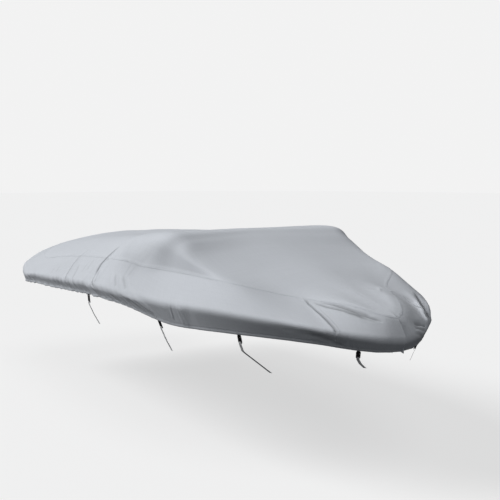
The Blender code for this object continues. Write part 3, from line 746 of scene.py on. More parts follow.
def woven_threads():
    """Plain weave: threads over and under, with slubs where a thread runs thick, and painted shade down
    between the threads.
    """
    found = bpy.data.node_groups.get("woven threads")
    if found:
        return found
    tree, t, given, wanted = group_of(
        "woven threads",
        (
            ("Map", "NodeSocketVector", None), ("Thread Pitch", "NodeSocketFloat", 0.0011),
            ("Slub", "NodeSocketFloat", 0.05),
        ),
        (("Shade", "NodeSocketFloat"), ("Height", "NodeSocketFloat"), ("Fibre", "NodeSocketFloat")),
    )
    split = t.node("ShaderNodeSeparateXYZ", {0: given["Map"]}).outputs
    turn = t.math("DIVIDE", math.pi, given["Thread Pitch"])
    across = t.math("MULTIPLY", split["X"], turn)
    along = t.math("MULTIPLY", split["Y"], turn)
    over = t.math("MULTIPLY", t.math("SINE", across), t.math("SINE", along))
    warp = t.math("ABSOLUTE", t.math("SINE", across))
    weft = t.math("ABSOLUTE", t.math("SINE", along))
    lifted = t.math("MULTIPLY_ADD", over, 0.5, 0.5, clamp=True)
    warp_high = t.math("MULTIPLY", warp, lifted)
    weft_high = t.math("MULTIPLY", weft, t.math("SUBTRACT", 1.0, lifted))
    threads = t.math("MAXIMUM", warp_high, weft_high)
    warp_slub = t.noise(t.stretch(given["Map"], (520.0, 7.0, 1.0)), 1.0, 2.0)
    weft_slub = t.noise(t.stretch(given["Map"], (7.0, 520.0, 1.0)), 1.0, 2.0)
    broad_warp = t.noise(t.stretch(given["Map"], (90.0, 2.5, 1.0)), 1.0, 1.0)
    broad_weft = t.noise(t.stretch(given["Map"], (2.5, 90.0, 1.0)), 1.0, 1.0)
    slubs = t.math("ADD", t.math("ADD", warp_slub, weft_slub), t.math("ADD", broad_warp, broad_weft))
    slubs = t.math("MULTIPLY", t.math("SUBTRACT", slubs, 2.0), given["Slub"])
    # Painted shade: the colour is darker where the threads lie low, between them; the slubs are real tone.
    groove_shade = t.math("MULTIPLY", t.math("SUBTRACT", threads, 0.6), 0.10)
    t.link(t.math("ADD", t.math("ADD", 1.0, slubs), groove_shade), wanted["Shade"])
    t.link(t.math("MULTIPLY_ADD", slubs, 1.5, threads), wanted["Height"])
    fibre = t.noise(given["Map"], 2400.0, 1.0)
    t.link(fibre, wanted["Fibre"])
    return tree


def webbing_ribs():
    """Ribs across a webbing, with its two firm edges, and painted shade down between the ribs."""
    found = bpy.data.node_groups.get("webbing ribs")
    if found:
        return found
    tree, t, given, wanted = group_of(
        "webbing ribs",
        (("Map", "NodeSocketVector", None), ("Rib Pitch", "NodeSocketFloat", 0.0016)),
        (("Shade", "NodeSocketFloat"), ("Height", "NodeSocketFloat")),
    )
    split = t.node("ShaderNodeSeparateXYZ", {0: given["Map"]}).outputs
    turn = t.math("DIVIDE", math.pi, given["Rib Pitch"])
    ribs = t.math("ABSOLUTE", t.math("SINE", t.math("MULTIPLY", split["X"], turn)))
    cords = t.math("ABSOLUTE", t.math("SINE", t.math("MULTIPLY", split["Y"], math.pi / 0.0021)))
    height = t.math("MULTIPLY_ADD", cords, 0.4, ribs)
    worn = t.noise(t.stretch(given["Map"], (30.0, 160.0, 1.0)), 1.0, 3.0)
    # Painted shade: darker where the ribs and cords lie low; the worn noise is wear.
    shade = t.math("ADD", t.scaled(height, 0.80, 1.06), t.scaled(worn, -0.10, 0.10))
    t.link(shade, wanted["Shade"])
    t.link(height, wanted["Height"])
    return tree


def settled_dust():
    """Soft patches where dust has settled and the dye has faded, and a mask of them."""
    found = bpy.data.node_groups.get("settled dust")
    if found:
        return found
    tree, t, given, wanted = group_of(
        "settled dust",
        (
            ("Place", "NodeSocketVector", None), ("Patch Size", "NodeSocketFloat", 0.35),
            ("Strength", "NodeSocketFloat", 0.04),
        ),
        (("Shade", "NodeSocketFloat"), ("Mask", "NodeSocketFloat")),
    )
    scale = t.math("DIVIDE", 1.0, given["Patch Size"])
    broad = t.noise(given["Place"], scale, 4.0, 0.6)
    fine = t.noise(given["Place"], 46.0, 3.0, 0.6)
    patches = t.math("ADD", t.math("MULTIPLY", broad, 0.7), t.math("MULTIPLY", fine, 0.3))
    t.link(patches, wanted["Mask"])
    swing = t.math("MULTIPLY", t.math("SUBTRACT", patches, 0.5), given["Strength"])
    t.link(t.math("MULTIPLY_ADD", swing, 2.0, 1.0), wanted["Shade"])
    return tree


def shader_of(name, colour, roughness):
    """A new material with its Principled shader, as a tree to add to."""
    made = bpy.data.materials.new(name)
    made.use_nodes = True
    shader = made.node_tree.nodes["Principled BSDF"]
    shader.inputs["Base Color"].default_value = (*colour, 1.0)
    shader.inputs["Roughness"].default_value = roughness
    made.diffuse_color = (*colour, 1.0)
    return made, Tree(made.node_tree), shader


def cloth_material(name, tint):
    """Matt woven polyester, faintly slubbed and soiled, with painted shade down in its creases and between
    its threads.
    """
    settings = cloth_settings()
    colour = [c * tint for c in settings.colour]
    made, t, shader = shader_of(name, colour, 0.82)
    shader.inputs["Specular IOR Level"].default_value = 0.28
    shader.inputs["Sheen Weight"].default_value = 0.06
    shader.inputs["Sheen Roughness"].default_value = 0.55
    cloth_map = t.node("ShaderNodeUVMap", uv_map="cloth_map").outputs[0]
    place = t.node("ShaderNodeTexCoord").outputs["Object"]
    weave = t.group(woven_threads(), map=cloth_map, thread_pitch=settings.thread_pitch, slub=0.055)
    dust = t.group(settled_dust(), place=place, patch_size=0.42, strength=0.035)
    # Painted shade: the crease mask darkens the colour to 0.45 down in the creases.
    crease_shade = t.node("ShaderNodeAttribute", attribute_name="crease_shade").outputs["Fac"]
    shade = t.math("MULTIPLY", weave["Shade"], dust["Shade"])
    t.lit(shader, colour, t.math("MULTIPLY", shade, t.scaled(crease_shade, 1.0, 0.45)))
    rough = t.math("ADD", t.scaled(weave["Fibre"], -0.04, 0.04), t.scaled(dust["Mask"], 0.78, 0.88))
    t.link(rough, shader.inputs["Roughness"])
    t.bumped(shader, 0.35, 0.00025, weave["Height"])
    return made


def webbing_material(name, colour, roughness):
    """Ribbed webbing, a little worn, with painted shade between its ribs."""
    made, t, shader = shader_of(name, colour, roughness)
    shader.inputs["Specular IOR Level"].default_value = 0.3
    cloth_map = t.node("ShaderNodeUVMap", uv_map="cloth_map").outputs[0]
    ribs = t.group(webbing_ribs(), map=cloth_map, rib_pitch=0.0016)
    # The ribs' shade puts painted shade between the ribs into the colour.
    t.lit(shader, colour, ribs["Shade"])
    t.link(t.scaled(ribs["Height"], roughness + 0.1, roughness - 0.08), shader.inputs["Roughness"])
    t.bumped(shader, 0.6, 0.0004, ribs["Height"])
    return made


def plastic_material(name, colour):
    """Moulded satin plastic with a fine spark-eroded grain and random scuffed patches."""
    made, t, shader = shader_of(name, colour, 0.38)
    place = t.node("ShaderNodeTexCoord").outputs["Object"]
    dust = t.group(settled_dust(), place=place, patch_size=0.012, strength=0.25)
    t.lit(shader, colour, dust["Shade"])
    t.link(t.scaled(dust["Mask"], 0.30, 0.50), shader.inputs["Roughness"])
    t.bumped(shader, 0.25, 0.0001, t.noise(place, 1900.0, 2.0))
    return made


def thread_material(name, colour):
    """Bonded sewing thread with its twist."""
    made, t, shader = shader_of(name, colour, 0.6)
    place = t.node("ShaderNodeTexCoord").outputs["Object"]
    twist = t.noise(place, 900.0, 2.0)
    t.lit(shader, colour, t.scaled(twist, 0.82, 1.15))
    t.link(t.scaled(twist, 0.50, 0.68), shader.inputs["Roughness"])
    return made


def finish_named(name):
    """The material of a name, made when it is first asked for."""
    made = bpy.data.materials.get(name)
    if made:
        return made
    trim = bpy.context.scene.cover_trim
    makers = {
        "grey woven cloth, top": lambda: cloth_material(name, 1.00),
        "grey woven cloth, side": lambda: cloth_material(name, 0.985),
        "grey woven cloth, bow": lambda: cloth_material(name, 0.97),
        "grey woven cloth, transom": lambda: cloth_material(name, 0.96),
        "black ribbed webbing": lambda: webbing_material(name, trim.tab_colour, 0.72),
        "grey ribbed webbing": lambda: webbing_material(name, trim.strap_colour, 0.66),
        "black moulded plastic": lambda: plastic_material(name, trim.buckle_colour),
        "grey sewing thread": lambda: thread_material(name, trim.thread_colour),
    }
    return makers[name]()


# ---- the cloth panels --------------------------------------------------------------------------


def strip_map(points, arcs, places):
    """Map in metres for a strip: along the hem and up the cloth."""
    along = lengths_along(points[:, len(HEM_PROFILE)])
    return np.stack([np.broadcast_to(along[:, None] + places[0], arcs.shape), arcs], -1)


def skirted_lines(seam, top):
    """Arc lengths of the lines of a skirted panel, hem first."""
    hem = np.array([line[0] for line in HEM_PROFILE])[None] + 0 * seam
    upper = seam - np.array(NEAR_SEAM)[None]
    share = np.linspace(0, 1, PANEL_MIDDLE_LINES + 2)[1:-1][None]
    middle = hem[:, -1:] + (upper[:, :1] - hem[:, -1:]) * share
    return np.concatenate([hem, middle, upper, seam + UNDER_LAP], 1)


def stood_off(points, out, offsets):
    """Points moved outward by their offsets."""
    return points + out * offsets[..., None]


def hem_offsets(shape):
    """How far each line of a skirted panel stands outside its face because of the hem."""
    offsets = np.zeros(shape)
    offsets[:, :len(HEM_PROFILE)] = [line[1] for line in HEM_PROFILE]
    return offsets


def end_offsets(places, ends, shape):
    """Stand-offs of rows at the lapped ends of a panel."""
    offsets = np.zeros(shape)
    for seam_place, profile in ends:
        shifts, heights = np.array(profile).T
        away = np.abs(places - seam_place) * np.where(places < seam_place, -1, 1)
        order = np.argsort(shifts)
        offsets += np.interp(away, shifts[order], heights[order], left=heights[order][0], right=0)[:, None]
    return offsets


def make_skirted_panel(name, side, start, end, finish):
    """One side or bow panel, from its hem up to the long seam."""
    profile = WIDE_LAP_PROFILE if start == CROSS_SEAM_RIB else LAP_PROFILE
    begin = place_of(start)
    first = begin + np.array([shift for shift, _ in profile])
    last = place_of(end) + UNDER_LAP if end != STEM_RIB else HEM_HALF
    places = np.concatenate([first, rows_between(first[-1], last, PANEL_ROWS)[1:]])
    points, out, crease_shade, arcs = lay_out(places, skirted_lines, side)
    offsets = hem_offsets(arcs.shape) + end_offsets(places, [(begin, profile)], arcs.shape)
    points = stood_off(points, out, offsets)
    uvs = strip_map(points, arcs, places)
    if end == STEM_RIB and side == STARBOARD:
        beyond, raised = np.array(STEM_LAP_PROFILE).T
        past = HEM_HALF - beyond
        more, more_out, more_crease_shade, more_arcs = lay_out(past, skirted_lines, PORT)
        shown = hem_offsets(more_arcs.shape) + raised[:, None]
        points = np.concatenate([points, stood_off(more, more_out, shown)])
        crease_shade = np.concatenate([crease_shade, more_crease_shade])
        further = uvs[-1:, :, 0] + (HEM_HALF - past)[:, None]
        uvs = np.concatenate([uvs, np.stack([further + 0 * more_arcs, more_arcs], -1)])
    # The crease mask stored on the mesh is painted shade for the cloth's colour.
    piece = grid_piece(name, points, uvs, {"crease_shade": crease_shade}, flip=side == PORT)
    thicken(piece, cloth_settings().cloth_thickness)
    return finish_mesh(piece, finish_named(finish), [name])


def centre_lines(seam, top):
    """Arc lengths of the lines of the centre panel's half, from its lapped edge to the ridge."""
    lap = np.array([shift for shift, _ in LAP_PROFILE])[None] + seam
    share = (np.linspace(0, 1, CENTRE_MIDDLE_LINES + 1)[1:] ** CENTRE_LINES_CROWD)[None]
    return np.concatenate([lap, lap[:, -1:] + (top - lap[:, -1:]) * share], 1)


def centre_map(points):
    """Map in metres whose threads run fore and aft and square across."""
    middle_row, middle_column = len(points) // 2, points.shape[1] // 2

    def steps(difference, axis):
        level = np.hypot(difference[..., 0], difference[..., 1])
        steep = np.sqrt(1 + (difference[..., 2] / np.maximum(level, 1e-6)) ** 2)
        return difference[..., axis] * np.minimum(steep, 3)

    sideways, forward = steps(np.diff(points, axis=1), 1), steps(np.diff(points, axis=0), 0)
    across = np.concatenate([np.zeros((len(points), 1)), np.cumsum(sideways, 1)], 1)
    across -= across[:, middle_column:middle_column + 1]
    fore = np.concatenate([np.zeros((1, points.shape[1])), np.cumsum(forward, 0)], 0)
    fore += points[middle_row, :, 0] - fore[middle_row]
    return np.stack([fore, across], -1)


class Maker:
    """What every maker of the add-on shares."""

    bl_options = {"REGISTER", "UNDO"}

    def execute(self, context):
        self.make(context)
        return {"FINISHED"}


class MakeCentrePanel(Maker, bpy.types.Operator):
    """Lays the centre panel over both long seams and down over the bow"""

    bl_idname = "cover.make_centre_panel"
    bl_label = "Centre Panel"

    def make(self, context):
        places = rows_between(0.0, HEM_HALF, CENTRE_ROWS)
        halves = []
        for side, _ in SIDES:
            points, out, crease_shade, arcs = lay_out(places, centre_lines, side)
            heights = np.zeros(arcs.shape)
            heights[:, :len(LAP_PROFILE)] = [height for _, height in LAP_PROFILE]
            halves.append([stood_off(points, out, heights), crease_shade])
        ridge = (halves[0][0][:, -1] + halves[1][0][:, -1]) / 2
        points = np.concatenate([halves[0][0][:, :-1], ridge[:, None], halves[1][0][:, -2::-1]], 1)
        crease_shade = np.concatenate([halves[0][1], halves[1][1][:, -2::-1]], 1)
        for row in (0, -1):
            mirrored = points[row][::-1]
            points[row] = (points[row] + mirrored) / 2
        uvs = centre_map(points)
        # The crease mask stored on the mesh is painted shade for the cloth's colour.
        piece = grid_piece("centre_panel_cloth", points, uvs, {"crease_shade": crease_shade}, folded=True)
        thicken(piece, cloth_settings().cloth_thickness)
        finish_mesh(piece, finish_named("grey woven cloth, top"), ["centre_panel"])


class MakeSidePanels(Maker, bpy.types.Operator):
    """Hangs a side panel along each gunwale, from the stern corner to the cross seam"""

    bl_idname = "cover.make_side_panels"
    bl_label = "Side Panels"

    def make(self, context):
        for side, word in SIDES:
            node = f"side_panel_{word}"
            piece = make_skirted_panel(
                node, side, STERN_SEAM_RIB, CROSS_SEAM_RIB, "grey woven cloth, side",
            )
            piece.name = piece.data.name = f"{node}_cloth"


class MakeBowPanels(Maker, bpy.types.Operator):
    """Hangs the two bow panels, which meet in a lapped seam down the stem"""

    bl_idname = "cover.make_bow_panels"
    bl_label = "Bow Panels"

    def make(self, context):
        for side, word in SIDES:
            node = f"bow_panel_{word}"
            piece = make_skirted_panel(
                node, side, CROSS_SEAM_RIB, STEM_RIB, "grey woven cloth, bow",
            )
            piece.name = piece.data.name = f"{node}_cloth"


class MakeTransomPanel(Maker, bpy.types.Operator):
    """Hangs the transom panel across the stern, under both side panels' laps"""

    bl_idname = "cover.make_transom_panel"
    bl_label = "Transom Panel"

    def make(self, context):
        places = rows_between(0.0, place_of(STERN_SEAM_RIB) + UNDER_LAP, PANEL_ROWS)
        halves = [lay_out(places, skirted_lines, side) for side, _ in SIDES]
        points = []
        for points_of_half, out, crease_shade, arcs in halves:
            points.append(stood_off(points_of_half, out, hem_offsets(arcs.shape)))
        middle = (points[0][:1] + points[1][:1]) / 2
        middle[..., 1] = 0.0
        joined = np.concatenate([points[1][:0:-1], middle, points[0][1:]])
        crease_shade = np.concatenate([halves[1][2][:0:-1], halves[0][2]])
        arcs = np.concatenate([halves[1][3][:0:-1], halves[0][3]])
        uvs = strip_map(joined, arcs, np.zeros(1))
        # The crease mask stored on the mesh is painted shade for the cloth's colour.
        piece = grid_piece("transom_panel_cloth", joined, uvs, {"crease_shade": crease_shade})
        thicken(piece, cloth_settings().cloth_thickness)
        finish_mesh(piece, finish_named("grey woven cloth, transom"), ["transom_panel"])


# ---- stitching ---------------------------------------------------------------------------------


def stitched(name, rows):
    """Short flat stitches, each an eight-cornered bead, from rows of starts, ends and outward directions."""
    starts, ends, out = map(np.concatenate, zip(*rows))
    trim = bpy.context.scene.cover_trim
    run = unit(ends - starts)
    side = unit(np.cross(run, out)) * trim.thread_width / 2
    rise = unit(np.cross(side, run)) * trim.thread_width * 0.45
    rise *= np.sign((rise * out).sum(-1, keepdims=True))
    dip = (ends - starts) * 0.16
    corners = np.stack([
        starts - side - rise, starts + side - rise, ends + side - rise, ends - side - rise,
        starts - side * 0.7 + rise + dip, starts + side * 0.7 + rise + dip,
        ends + side * 0.7 + rise - dip, ends - side * 0.7 + rise - dip,
    ], 1)
    pattern = np.array([
        (0, 1, 2, 3), (4, 7, 6, 5), (0, 4, 5, 1), (1, 5, 6, 2), (2, 6, 7, 3), (3, 7, 4, 0),
    ])
    faces = (np.arange(len(starts))[:, None, None] * 8 + pattern[None]).reshape(-1, 4)
    mesh = bpy.data.meshes.new(name)
    mesh.from_pydata(corners.reshape(-1, 3).tolist(), [], faces.tolist())
    mesh.update()
    piece = new_piece(name, mesh)
    turn_outward(piece)
    return finish_mesh(piece, finish_named("grey sewing thread"), [])


def stitch_run(side, arcs_of, offset):
    """Starts, ends and outward directions of the stitches along the hem's direction."""
    trim = bpy.context.scene.cover_trim
    start, end = RUN_STARTS, HEM_HALF - RUN_STARTS
    count = int((end - start) / trim.stitch_pitch)
    begins = start + (end - start) * (np.arange(count) + 0.2) / count
    places = np.stack([begins, begins + trim.stitch_length], 1).ravel()
    points, out, _, arcs = lay_out(places, arcs_of, side)
    points = stood_off(points, out, np.full(arcs.shape, offset + THREAD_SITS * trim.thread_width))
    points, out = points[:, 0].reshape(-1, 2, 3), out[:, 0].reshape(-1, 2, 3)
    return points[:, 0], points[:, 1], out[:, 0]


def stitch_rise(side, place, offset):
    """Stitches that climb the cloth at one place of the gunwale."""
    trim = bpy.context.scene.cover_trim

    def arcs_of(seam, top):
        count = int((seam[0, 0] - RISE_STARTS) / trim.stitch_pitch)
        begins = RISE_STARTS + np.arange(count) * trim.stitch_pitch
        return np.stack([begins, begins + trim.stitch_length], 1).ravel()[None] + 0 * seam

    points, out, _, arcs = lay_out(np.array([place]), arcs_of, side)
    points = stood_off(points, out, np.full(arcs.shape, offset + THREAD_SITS * trim.thread_width))
    points, out = points[0].reshape(-1, 2, 3), out[0].reshape(-1, 2, 3)
    return points[:, 0], points[:, 1], out[:, 0]


class MakeStitching(Maker, bpy.types.Operator):
    """Sews the long seams, the cross seams and the hem"""

    bl_idname = "cover.make_stitching"
    bl_label = "Stitching"

    def make(self, context):
        for side, word in SIDES:
            runs = [
                stitch_run(side, lambda seam, top, shift=shift: seam + shift, height)
                for shift, height in LAP_STITCHES
            ]
            stitched(f"seam_stitching_{word}", runs)
            hem = stitch_run(side, lambda seam, top: HEM_STITCH[0] + 0 * seam, HEM_STITCH[1])
            stitched(f"hem_stitching_{word}", [hem])
            rises = [
                stitch_rise(side, place_of(CROSS_SEAM_RIB) + shift, height)
                for shift, height in WIDE_LAP_STITCHES
            ]
            rises += [
                stitch_rise(side, place_of(STERN_SEAM_RIB) + shift, height)
                for shift, height in LAP_STITCHES
            ]
            stitched(f"cross_stitching_{word}", rises)


# ---- ties --------------------------------------------------------------------------------------


def eased(path, rounds=3):
    """A path with its corners cut round, its ends kept."""
    path = np.array(path, float)
    for _ in range(rounds):
        early, late = path[:-1] * 0.75 + path[1:] * 0.25, path[:-1] * 0.25 + path[1:] * 0.75
        cut = np.stack([early, late], 1).reshape(-1, 3)
        path = np.concatenate([path[:1], cut[1:-1], path[-1:]])
    keep = np.concatenate([[True], np.linalg.norm(np.diff(path, axis=0), axis=1) > 2e-5])
    return path[keep]


def ribbon_piece(node, path, width, along, tone):
    """A webbing strip with rounded edges whose middle follows the path."""
    name = f"{node}_webbing"
    run = unit(np.gradient(path, axis=0))
    face = unit(np.cross(run, along))
    half, thick = width / 2, WEBBING / 2
    section = [
        (-half + WEBBING_EDGE, thick), (-half / 2, thick * 1.04), (0, thick * 1.06), (half / 2, thick * 1.04),
        (half - WEBBING_EDGE, thick), (half, thick * 0.35), (half, -thick * 0.35),
        (half - WEBBING_EDGE, -thick), (0, -thick), (-half + WEBBING_EDGE, -thick),
        (-half, -thick * 0.35), (-half, thick * 0.35),
    ]
    rings = np.stack([path + face * out + along * across for across, out in section], 1)
    rows, columns = rings.shape[:2]
    index = np.arange(rows * columns).reshape(rows, columns)
    beside = np.roll(index, -1, 1)
    faces = np.stack([index[:-1], index[1:], beside[1:], beside[:-1]], -1).reshape(-1, 4).tolist()
    faces += [index[0].tolist(), index[-1][::-1].tolist()]
    mesh = bpy.data.meshes.new(name)
    mesh.from_pydata(rings.reshape(-1, 3).tolist(), [], faces)
    length = lengths_along(path)
    across = np.array([place for place, _ in section])
    grid = np.stack(np.broadcast_arrays(length[:, None], across[None]), -1)
    layer = mesh.uv_layers.new(name="cloth_map")
    corner_of_loop = np.zeros(len(mesh.loops), np.int32)
    mesh.loops.foreach_get("vertex_index", corner_of_loop)
    layer.data.foreach_set("uv", grid.reshape(-1, 2)[corner_of_loop].astype(np.float32).ravel())
    piece = new_piece(name, mesh)
    turn_outward(piece)
    finish_mesh(piece, finish_named(f"{tone} ribbed webbing"), [node])
    bpy.ops.object.shade_smooth_by_angle(angle=math.radians(40))
    return piece


def tie_frame(rib, side):
    """Where a tab hangs: a point inside the hem and the directions down, along the hem and outward."""
    steps = np.linspace(-1, 1, 9) * (TAB_WIDTH / 2 + 0.002)
    places = place_of(rib) + steps
    lines, offsets = np.maximum(np.array([(0.0, 0.0), *HEM_PROFILE]).T, ((0.0,), (-1.0,)))
    points, out, _, arcs = lay_out(places, lambda seam, top: lines[None] + 0 * seam, side)
    turned_hem = stood_off(points, out, np.broadcast_to(offsets, arcs.shape))
    hem = points[4, 0]
    down = unit(points[4, 0] - points[4, -1])
    outward = unit(np.cross(down, points[-1, 0] - points[0, 0]))
    if outward[1] * (1 if side == PORT else -1) < 0:
        outward = -outward
    along = unit(np.cross(outward, down))
    sunk = ((turned_hem - hem) @ outward).min() - cloth_settings().cloth_thickness
    return hem + outward * sunk, down, along, outward


def tie_paths(tie, side):
    """Paths of one tab and strap, and the place and turn of their buckle."""
    hem, down, along, outward = tie_frame(tie["rib"], side)
    on_cloth = -CLOTH_CLEARANCE - WEBBING / 2
    beside_bar = BUCKLE_THICKNESS / 2 + BAR_CLEARANCE + WEBBING / 2
    past_bar = BUCKLE_BAR / 2 + BAR_CLEARANCE + WEBBING / 2
    middle = on_cloth - beside_bar
    upper_bar = BUCKLE_BELOW_HEM + BUCKLE_BAR / 2
    lower_bar = BUCKLE_BELOW_HEM + BUCKLE_LENGTH - BUCKLE_BAR / 2

    def at(below, out):
        return hem + down * below + outward * (middle + out)

    def round_bar(bar, way):
        cut = WEBBING / 2
        corner = [(past_bar - cut, beside_bar), (past_bar, beside_bar - cut)]
        corner += [(below, -out) for below, out in corner[::-1]]
        return [at(bar + way * below, out) for below, out in corner]

    tab = [at(-TAB_ON_CLOTH, beside_bar), at(-TAB_ON_CLOTH / 2, beside_bar), at(0.0, beside_bar)]
    tab += [at(upper_bar - past_bar, beside_bar)]
    tab += round_bar(upper_bar, 1)
    tab += [at(upper_bar - past_bar, -beside_bar), at(TAB_TAIL_BELOW_HEM, -beside_bar * TAIL_LIES_BACK)]
    turned = Matrix((Vector(along), Vector(-down), Vector(np.cross(along, -down)))).transposed().to_4x4()
    seat = Matrix.Translation(Vector(at(BUCKLE_BELOW_HEM + BUCKLE_LENGTH / 2, 0))) @ turned
    strap = [at(lower_bar + STRAP_TAIL, -beside_bar * TAIL_LIES_BACK), at(lower_bar + past_bar, -beside_bar)]
    strap += round_bar(lower_bar, -1)[::-1]
    strap += [at(lower_bar + past_bar, beside_bar), at(lower_bar + STRAP_TAIL, beside_bar)]
    last = strap[-1]
    inward = np.array([0, -1 if side == PORT else 1, 0])
    bend = last + inward * tie["inward_a"] - np.array([0, 0, tie["drop_a"]])
    end = bend + inward * tie["inward_b"] - np.array([-tie["forward_b"], 0, tie["drop_b"]])
    strap += [last + (bend - last) * share for share in (0.35, 0.7)]
    before, after = bend + (last - bend) * STRAP_BEND_SHARE, bend + (end - bend) * STRAP_BEND_SHARE
    strap += [arc(before, bend, after, share) for share in (0, 0.5, 1)]
    strap += [bend + (end - bend) * share for share in (0.4, 0.7, 1.0)]
    return eased(tab), eased(strap), along, seat


def bar_tack(rib, side):
    """Box of stitches, with a cross in it, on the hem outside a tab."""
    trim = bpy.context.scene.cover_trim
    half, (low, high) = TAB_WIDTH / 2 - TACK_INSET, TACK_HEIGHTS
    ends = ((-half, high), (half, high), (half, low), (-half, low), (-half, high), (half, low))
    runs = [*zip(ends, ends[1:]), ((half, high), (-half, low))]
    starts, stops, outs = [], [], []
    for begin, end in runs:
        begin, end = np.array(begin), np.array(end)
        count = max(2, int(np.linalg.norm(end - begin) / TACK_STITCH))
        share = np.stack([np.arange(count) + 0.1, np.arange(count) + 0.85], 1).ravel() / count
        marks = begin + (end - begin) * share[:, None]
        laid = [
            lay_out(np.array([place_of(rib) + along]), lambda seam, top, up=up: up + 0 * seam, side)
            for along, up in marks
        ]
        rise = np.interp(marks[:, 1], *np.array(sorted(HEM_PROFILE[HEM_FLAP_LINES:])).T)
        sits = THREAD_SITS * trim.thread_width
        points = np.array([spot[0][0, 0] + spot[1][0, 0] * (lift + sits) for spot, lift in zip(laid, rise)])
        starts.append(points[::2])
        stops.append(points[1::2])
        outs.append(np.array([spot[1][0, 0] for spot in laid])[::2])
    return np.concatenate(starts), np.concatenate(stops), np.concatenate(outs)


class MakeTies(Maker, bpy.types.Operator):
    """Sews the webbing tabs on the hem and threads the straps that hang from their buckles"""

    bl_idname = "cover.make_ties"
    bl_label = "Tabs and Straps"

    def make(self, context):
        tacks = {}
        for side, word in SIDES:
            for number, row in enumerate(TIES, 1):
                tie = dict(zip(TIE_COLUMNS, row))
                tab, strap, along, _ = tie_paths(tie, side)
                tab_node, strap_node = f"tab_{word}_{number}", f"strap_{word}_{number}"
                ribbon_piece(tab_node, tab, TAB_WIDTH, along, "black")
                ribbon_piece(strap_node, strap, STRAP_WIDTH, along, "grey")
                tacks.setdefault(word, []).append(bar_tack(tie["rib"], side))
        for word, rows in tacks.items():
            stitched(f"tab_stitching_{word}", rows)


def block(name, size, centre):
    """A cube primitive shaped to a size and moved to a place."""
    bpy.ops.object.select_all(action="DESELECT")
    bpy.ops.mesh.primitive_cube_add(size=1.0)
    piece = bpy.context.object
    piece.name = piece.data.name = name
    edit_all(piece)
    bpy.ops.transform.resize(value=size)
    bpy.ops.transform.translate(value=centre)
    bpy.ops.object.mode_set(mode="OBJECT")
    return piece


def rounded(piece, width, segments):
    """Rounds a piece's edges."""
    bevel = piece.modifiers.new("rounding", "BEVEL")
    bevel.width, bevel.segments = width, segments
    apply_all(piece)


def joined(body, other, operation):
    """Cuts another block out of the body or welds it on, and takes the block away."""
    change = body.modifiers.new("join", "BOOLEAN")
    change.operation, change.solver, change.object = operation, "EXACT", other
    apply_all(body)
    bpy.data.objects.remove(other)


def moulded_buckle():
    """The buckle, moulded once: rounded frame, two slots, two dishes and three grip ribs."""
    body = block("buckle_mould", (BUCKLE_WIDTH, BUCKLE_LENGTH, BUCKLE_THICKNESS), (0, 0, 0))
    rounded(body, 0.0042, 4)
    slot_y = BUCKLE_LENGTH / 2 - BUCKLE_BAR - BUCKLE_SLOT / 2
    cutters = [
        block(f"slot_{end}", (TAB_WIDTH + SLOT_WIDER_THAN_TAB, BUCKLE_SLOT, 0.03), (0, end * slot_y, 0))
        for end in (-1, 1)
    ]
    dish_length = BUCKLE_LENGTH - 2 * (BUCKLE_BAR + BUCKLE_SLOT) - 0.004
    cutters += [
        block(f"dish_{face}", (TAB_WIDTH - 0.002, dish_length, 0.004), (0, 0, face * BUCKLE_THICKNESS / 2))
        for face in (1, -1)
    ]
    for cutter in cutters:
        rounded(cutter, 0.0012, 2)
        joined(body, cutter, "DIFFERENCE")
    for number, y in enumerate((-0.0052, 0.0, 0.0052)):
        place = (0, y, BUCKLE_THICKNESS / 2 - 0.0022)
        rib = block(f"grip_{number}", (TAB_WIDTH - 0.006, 0.0018, 0.0034), place)
        rounded(rib, 0.0006, 2)
        joined(body, rib, "UNION")
    return body


class MakeBuckles(Maker, bpy.types.Operator):
    """Moulds one buckle and hangs a copy at each tie"""

    bl_idname = "cover.make_buckles"
    bl_label = "Buckles"

    def make(self, context):
        mould = moulded_buckle()
        for side, word in SIDES:
            for number, row in enumerate(TIES, 1):
                *_, seat = tie_paths(dict(zip(TIE_COLUMNS, row)), side)
                node = f"buckle_{word}_{number}"
                mesh = mould.data.copy()
                mesh.transform(seat)
                piece = new_piece(f"{node}_moulding", mesh)
                finish_mesh(piece, finish_named("black moulded plastic"), [node])
                pick_out(piece)
                bpy.ops.object.shade_smooth_by_angle(angle=math.radians(35))
        bpy.data.objects.remove(mould)


# ---- the studio --------------------------------------------------------------------------------


def soft_light(name, toward_light, strength, spread):
    """A wide soft light from one direction, equally strong over the whole floor."""
    data = bpy.data.lights.new(name, "SUN")
    data.angle, data.energy = math.radians(spread), strength
    light = new_piece(name, data)
    light.rotation_mode = "QUATERNION"
    light.rotation_quaternion = Vector(toward_light).normalized().to_track_quat("Z", "Y")
    return light


def studio_sky(context):
    """A dim even glow from all round, which the camera sees as the pale backdrop."""
    studio = context.scene.cover_studio
    world = context.scene.world or bpy.data.worlds.new("studio")
    context.scene.world = world
    world.use_nodes = True
    t = Tree(world.node_tree)
    for node in list(world.node_tree.nodes):
        world.node_tree.nodes.remove(node)
    ambient = t.node("ShaderNodeBackground", {"Color": SKY_COLOUR, "Strength": studio.sky_strength})
    shown = t.node("ShaderNodeBackground", {"Color": (*studio.backdrop_colour, 1.0), "Strength": 1.0})
    seen = t.node("ShaderNodeLightPath").outputs["Is Camera Ray"]
    joined = t.node("ShaderNodeMixShader", {0: seen, 1: ambient.outputs[0], 2: shown.outputs[0]})
    t.node("ShaderNodeOutputWorld", {"Surface": joined.outputs[0]})


